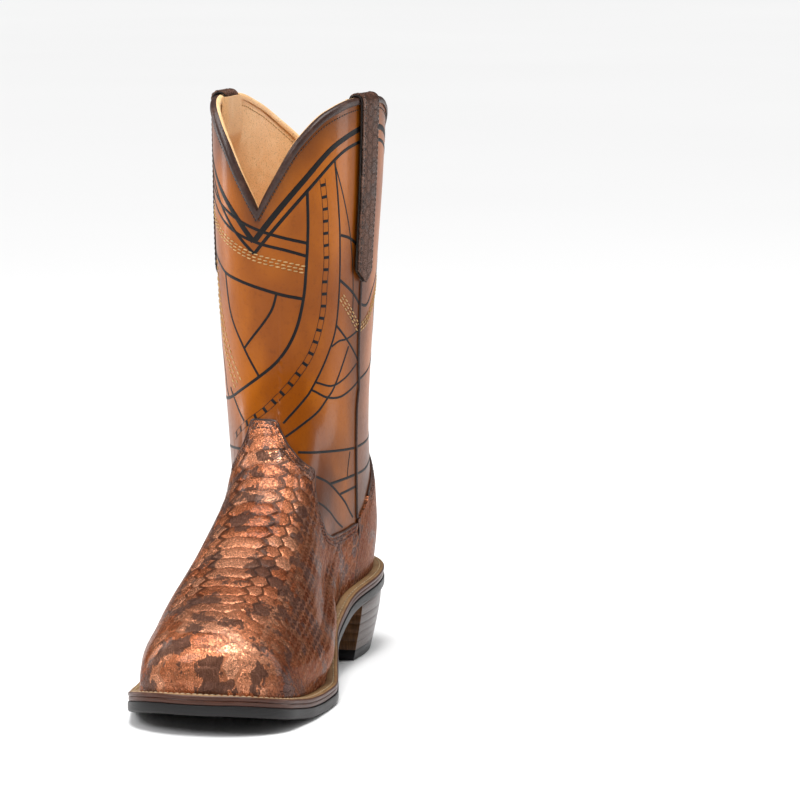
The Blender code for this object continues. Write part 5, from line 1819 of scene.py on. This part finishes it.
# ---------------------------------------------------------------- the bottom
@dataclass
class Bottom:
    """The welt, midsole and outsole round the foot, and the stacked heel."""

    last: Last
    stitcher: Stitcher
    welt_thickness: float = 0.0026
    heel_breast_y: float = 0.064
    heel_inset: float = 0.0012
    heel_taper: tuple[float, float] = (0.15, 0.13)
    top_lift: float = 0.0060
    lifts: int = 5

    def __post_init__(self) -> None:
        """The welt's reach beyond the feather edge."""
        self.reach = self.last.cover[1] + self.last.overhang

    def _edges(self, stations: np.ndarray, reach: float) -> tuple[Points, Points]:
        """Matching outer and inner points of an outline this far out from the feather edge."""
        found = []
        for side in (-1, 1):
            at, out = self.last.feather_point(side * stations)
            edge = at + out * reach
            edge[(stations <= 0) | (stations >= 1), 0] = 0
            found.append(edge)
        return found[0], found[1]

    def _slab(self, name: str, node: str, rim: Outline, look: Finish) -> None:
        """A plate under the whole foot.

        Args:
            name: the piece's name.
            node: the CAD node it stands for.
            rim: its edge from the top round to the bottom, as reaches and heights over the underside.
            look: its finish.
        """
        tip, heel = np.linspace(0, 0.03, 7)[:-1], np.linspace(0.97, 1, 7)[1:]
        stations = np.concatenate([tip, np.linspace(0.03, 0.97, 230), heel])
        left, right = {}, {}
        for reach, height in rim:
            a, b = self._edges(stations, reach)
            for edge in (a, b):
                edge[:, 2] = self.last.underside(edge[:, 1]) + height
            left[(reach, height)], right[(reach, height)] = a, b
        share = np.linspace(0, 1, 9)[1:-1]
        top, low = rim[0], rim[-1]

        def between(a: Points, b: Points, height: float) -> list[Points]:
            """Level rows from one edge to the other."""
            rows = [a + (b - a) * s for s in share]
            for row in rows:
                row[:, 2] = self.last.underside(row[:, 1]) + height
            return rows

        rings = between(left[top], right[top], top[1])
        rings += [right[key] for key in rim]
        rings += between(right[low], left[low], low[1])
        rings += [left[key] for key in reversed(rim)]
        piece = Bench.tube(name, np.stack(rings, 1) + self.last.shift, angle=40)
        hand_over(piece, look, replaced=(node,))

    def _welt(self) -> None:
        """The stitched welt round the upper."""
        last, top = self.last, self.last.welt_bottom + self.welt_thickness
        low = last.welt_bottom
        turns = np.linspace(-1, 1, 561)[:-1]
        at, out = last.feather_point(turns)
        inner, reach = last.cover[1] - 0.0004, self.reach
        profile = (
            (inner, low),
            (reach - 0.0006, low),
            (reach - 0.0002, low + 0.0005),
            (reach - 0.0002, top - 0.0008),
            (reach - 0.0007, top - 0.0002),
            (reach - 0.0014, top),
            (reach - 0.0026, top + 0.00005),
            (reach - 0.0030, top - 0.00030),
            (reach - 0.0034, top + 0.00005),
            (inner, top + 0.0001),
        )
        rings = []
        for d, h in profile:
            ring = at + out * d
            ring[:, 2] = last.underside(ring[:, 1]) + h
            rings.append(ring + last.shift)
        piece = Bench.tube("stitched_welt", np.stack(rings, 1), closed=True, angle=45)
        hand_over(piece, WELT_TAN, replaced=("welt",))
        piece.data.materials.append(MIDSOLE_EDGE.material())
        for polygon in piece.data.polygons:
            polygon.material_index = int(abs(polygon.normal.z) < 0.75)
        self._welt_stitches(turns, top)

    def _welt_stitches(self, turns: np.ndarray, top: float) -> None:
        """The stitches in the welt's channel."""
        at, out = self.last.feather_point(turns)
        line = at + out * (self.reach - 0.0030)
        line[:, 2] = self.last.underside(line[:, 1]) + top
        line = np.concatenate([line, line[:1]])
        at_marks = marks_along(line, 0.0033)
        middle, ahead = (sampled(line, at_marks + step) for step in (0, 0.001))
        way = unit(ahead - middle)
        side = unit(np.cross([0, 0, 1.0], way))
        upright = np.cross(way, side)
        frames = np.stack([middle + self.last.shift, way * 0.00135, side * 0.00042, upright * 0.00042], 1)
        piece = Bench.repeat("welt_stitches", self.stitcher.stitch_shape(), frames)
        hand_over(piece, WELT_THREAD)

    def _heel_outline(self, height: float, inset: float, count: int = 70) -> Points:
        """The heel's outline at a height, from one front corner round the back to the other."""
        share = np.linspace(0, 1, 401)
        left, right = self._edges(share, self.reach - self.heel_inset)
        y = (left[:, 1] + right[:, 1]) / 2
        stations = np.linspace(np.interp(self.heel_breast_y, y, share), 1, count)
        left, right = self._edges(stations, self.reach - self.heel_inset - inset)
        drop = 1 - np.clip(height / float(self.last.underside(0.12)), 0, 1)
        narrow, short = (1 - taper * drop**1.25 for taper in self.heel_taper)
        edge = np.concatenate([left, right[-2::-1]])
        edge[:, 0] *= narrow
        edge[:, 1] = self.heel_breast_y + (edge[:, 1] - self.heel_breast_y) * short
        edge[:, 1] = np.maximum(edge[:, 1], self.heel_breast_y + inset)
        edge[:, 2] = height
        return edge + self.last.shift

    def _lift(self, name: str, node: str, low: float, high: float, look: Finish, seat: bool) -> None:
        """One layer of the heel, with its edges just broken."""
        soft = 0.00008
        levels = ((low, soft), (low + soft, 0.0), (high - soft, 0.0), (high, soft))
        rings = []
        for height, inset in levels:
            edge = self._heel_outline(height, inset)
            if seat and height > (low + high) / 2:
                edge[:, 2] = self.last.underside(edge[:, 1]) - self.last.gap - (high - height)
            rings.append(edge)
        Bench.clear()
        bpy.ops.mesh.primitive_circle_add(vertices=len(rings[0]), radius=0.05, fill_type="NGON")
        piece = Bench.named(name)
        mesh = piece.data
        count = len(rings[0])
        mesh.vertices.foreach_set("co", rings[0].astype(np.float32).reshape(-1))
        mesh.update()
        bpy.ops.object.mode_set(mode="EDIT")
        for _ in rings[1:]:
            bpy.ops.mesh.select_all(action="DESELECT")
            bpy.ops.object.mode_set(mode="OBJECT")
            for vertex in mesh.vertices[len(mesh.vertices) - count :]:
                vertex.select = True
            for polygon in mesh.polygons:
                polygon.select = len(polygon.vertices) == count and min(polygon.vertices) >= len(mesh.vertices) - count
            bpy.ops.object.mode_set(mode="EDIT")
            bpy.ops.mesh.extrude_region_move(TRANSFORM_OT_translate={"value": (0, 0, 0.001)})
        bpy.ops.object.mode_set(mode="OBJECT")
        points = np.concatenate(rings)
        mesh.vertices.foreach_set("co", points.astype(np.float32).reshape(-1))
        mesh.update()
        Bench.edit(
            piece,
            (bpy.ops.mesh.fill_holes, {"sides": 0}),
            (bpy.ops.mesh.quads_convert_to_tris, {}),
            (bpy.ops.mesh.normals_make_consistent, {"inside": False}),
        )
        bpy.ops.object.shade_smooth_by_angle(angle=math.radians(50))
        hand_over(piece, look, replaced=(node,))

    def _heel(self) -> None:
        """The heel's leather lifts and its rubber top lift."""
        seat = float(self.last.underside(self.heel_breast_y)) - self.last.gap
        levels = np.linspace(self.top_lift, seat - 0.001, self.lifts + 1)
        self._lift("heel_top_lift", "top_lift", 0.0, self.top_lift - 0.00005, RUBBER, False)
        for k in range(self.lifts):
            self._lift(
                f"heel_layer_{k + 1}", f"heel_lift_{k + 1}", levels[k], levels[k + 1] - 0.00004,
                HEEL_STACK, k == self.lifts - 1,
            )

    def build(self) -> None:
        """Builds and dresses the bottom."""
        reach, last = self.reach, self.last
        outsole = (
            (reach - 0.0006, last.outsole),
            (reach - 0.0001, last.outsole - 0.0004),
            (reach, last.outsole - 0.0012),
            (reach, 0.0016),
            (reach - 0.0003, 0.0007),
            (reach - 0.0009, 0.0002),
            (reach - 0.0020, 0.0),
        )
        self._slab("rubber_outsole", "outsole", outsole, RUBBER)
        low, high = last.midsole_bottom - 0.0001, last.welt_bottom - 0.0001
        midsole = (
            (reach - 0.0008, high),
            (reach - 0.0005, high - 0.0004),
            (reach - 0.0005, low + 0.0004),
            (reach - 0.0008, low),
        )
        self._slab("leather_midsole", "midsole", midsole, MIDSOLE_EDGE)
        self._welt()
        self._heel()


# ---------------------------------------------------------------- what stays from the frame
@dataclass
class HiddenParts:
    """The pieces inside the boot, which keep the frame's own shapes."""

    looks: dict[str, Finish] = field(
        default_factory=lambda: {
            "toe_puff": BOARD,
            "heel_stiffener": BOARD,
            "insole": BOARD,
            "sock_liner": LINING,
            "cork_filler": CORK,
            "shank": STEEL,
            **{f"heel_nail_{k}": STEEL for k in range(1, 6)},
        }
    )

    def build(self) -> None:
        """Dresses each piece."""
        for name, look in self.looks.items():
            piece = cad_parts[name]
            if not piece.material_slots:
                piece.data.materials.append(look.material())
            for slot in piece.material_slots:
                slot.material = look.material()
            LOG.info("%s: dressed", name)


# ---------------------------------------------------------------- the studio
@dataclass
class Studio:
    """A pale level floor, soft lights and the camera."""

    azimuth: float = math.radians(12.99)
    elevation: float = math.radians(7.71)
    distance: float = 2.26
    target: tuple[float, float, float] = (0.0773, 0.0, 0.1628)
    lens: float = 181.7
    sensor: float = 36.0
    floor_size: float = 70.0
    floor_gap: float = 0.0004
    air_strength: float = 0.12
    sun_strength: float = 2.9
    sun_spread: float = math.radians(44)

    def _camera(self) -> None:
        """The camera, looking a little down at its target."""
        data = bpy.data.cameras.new("camera")
        data.lens, data.sensor_width = self.lens, self.sensor
        camera = bpy.data.objects.new("camera", data)
        bpy.context.scene.collection.objects.link(camera)
        level = math.cos(self.elevation) * self.distance
        camera.location = (
            self.target[0] + math.sin(self.azimuth) * level,
            self.target[1] - math.cos(self.azimuth) * level,
            self.target[2] + math.sin(self.elevation) * self.distance,
        )
        camera.rotation_euler = (math.pi / 2 - self.elevation, 0, self.azimuth)
        bpy.context.scene.camera = camera

    def _floor(self) -> None:
        """The level floor, which reaches far behind the boot."""
        Bench.clear()
        bpy.ops.mesh.primitive_plane_add(size=self.floor_size, location=(0, 0, -self.floor_gap))
        floor = Bench.named("studio_floor")
        Bench.choose(floor)
        bpy.ops.object.transform_apply(location=True)
        graph = Graph("studio_white")
        tone = graph.noise(graph.place(), 0.7, 2)
        colour = graph.mix(tone, (0.86, 0.86, 0.86), (0.90, 0.90, 0.90))
        graph.set(Base_Color=colour, Roughness=1.0, Specular_IOR_Level=0.0)
        floor.data.materials.clear()
        floor.data.materials.append(graph.material)

    @staticmethod
    def _lamp(
        name: str, place: tuple[float, float, float], aim: tuple[float, float, float],
        size: tuple[float, float], power: float,
    ) -> None:
        """One soft box."""
        data = bpy.data.lights.new(name, "AREA")
        data.shape, data.size, data.size_y = "RECTANGLE", *size
        data.energy = power
        lamp = bpy.data.objects.new(name, data)
        bpy.context.scene.collection.objects.link(lamp)
        lamp.location = place
        way = np.array(aim) - np.array(place)
        flat = math.hypot(way[0], way[1])
        lamp.rotation_euler = (math.atan2(flat, -way[2]), 0, math.atan2(way[1], way[0]) - math.pi / 2)

    def build(self) -> None:
        """Sets up the studio."""
        self._camera()
        self._floor()
        world = bpy.data.worlds.new("studio_air")
        world.use_nodes = True
        background = world.node_tree.nodes["Background"]
        background.inputs[0].default_value = (1.0, 1.0, 1.0, 1.0)
        background.inputs[1].default_value = self.air_strength
        bpy.context.scene.world = world
        bpy.context.scene.view_settings.view_transform = "Standard"
        self._lamp("key_box", (-0.80, -1.25, 1.25), (0, 0, 0.12), (0.55, 0.75), 14)
        self._lamp("top_box", (0.10, -0.75, 1.75), (0, -0.02, 0.20), (0.45, 0.35), 13)
        ceiling = bpy.data.lights.new("ceiling", "SUN")
        ceiling.energy, ceiling.angle = self.sun_strength, self.sun_spread
        lamp = bpy.data.objects.new("ceiling", ceiling)
        bpy.context.scene.collection.objects.link(lamp)
        self._lamp("right_box", (1.20, 0.55, 0.65), (0, 0.06, 0.20), (0.35, 1.3), 8)
        self._lamp("left_strip", (-1.15, 0.35, 0.55), (0, 0.06, 0.20), (0.30, 1.1), 6)


# ---------------------------------------------------------------- the whole boot
def main() -> None:
    """Builds the boot's sub-assemblies in order, and the studio round it."""
    logging.basicConfig(level=logging.INFO, format="%(message)s")
    last = Last()
    stitcher = Stitcher(last)
    Bottom(last, stitcher).build()
    Lining(last).build()
    Shaft(last, stitcher).build()
    FootLeather(last, stitcher).build()
    TopEdge(last, stitcher).build()
    PullStrap(last, stitcher, 1, "inner", "medial", Body.INNER_LOOP).build()
    PullStrap(last, stitcher, -1, "outer", "lateral", Body.OUTER_LOOP).build()
    HiddenParts().build()
    for shape in (stitcher.grain_of_rice, stitcher.rung_block):
        if shape is not None:
            bpy.data.objects.remove(shape, do_unlink=True)
    Studio().build()


if __name__ == "__main__":
    main()
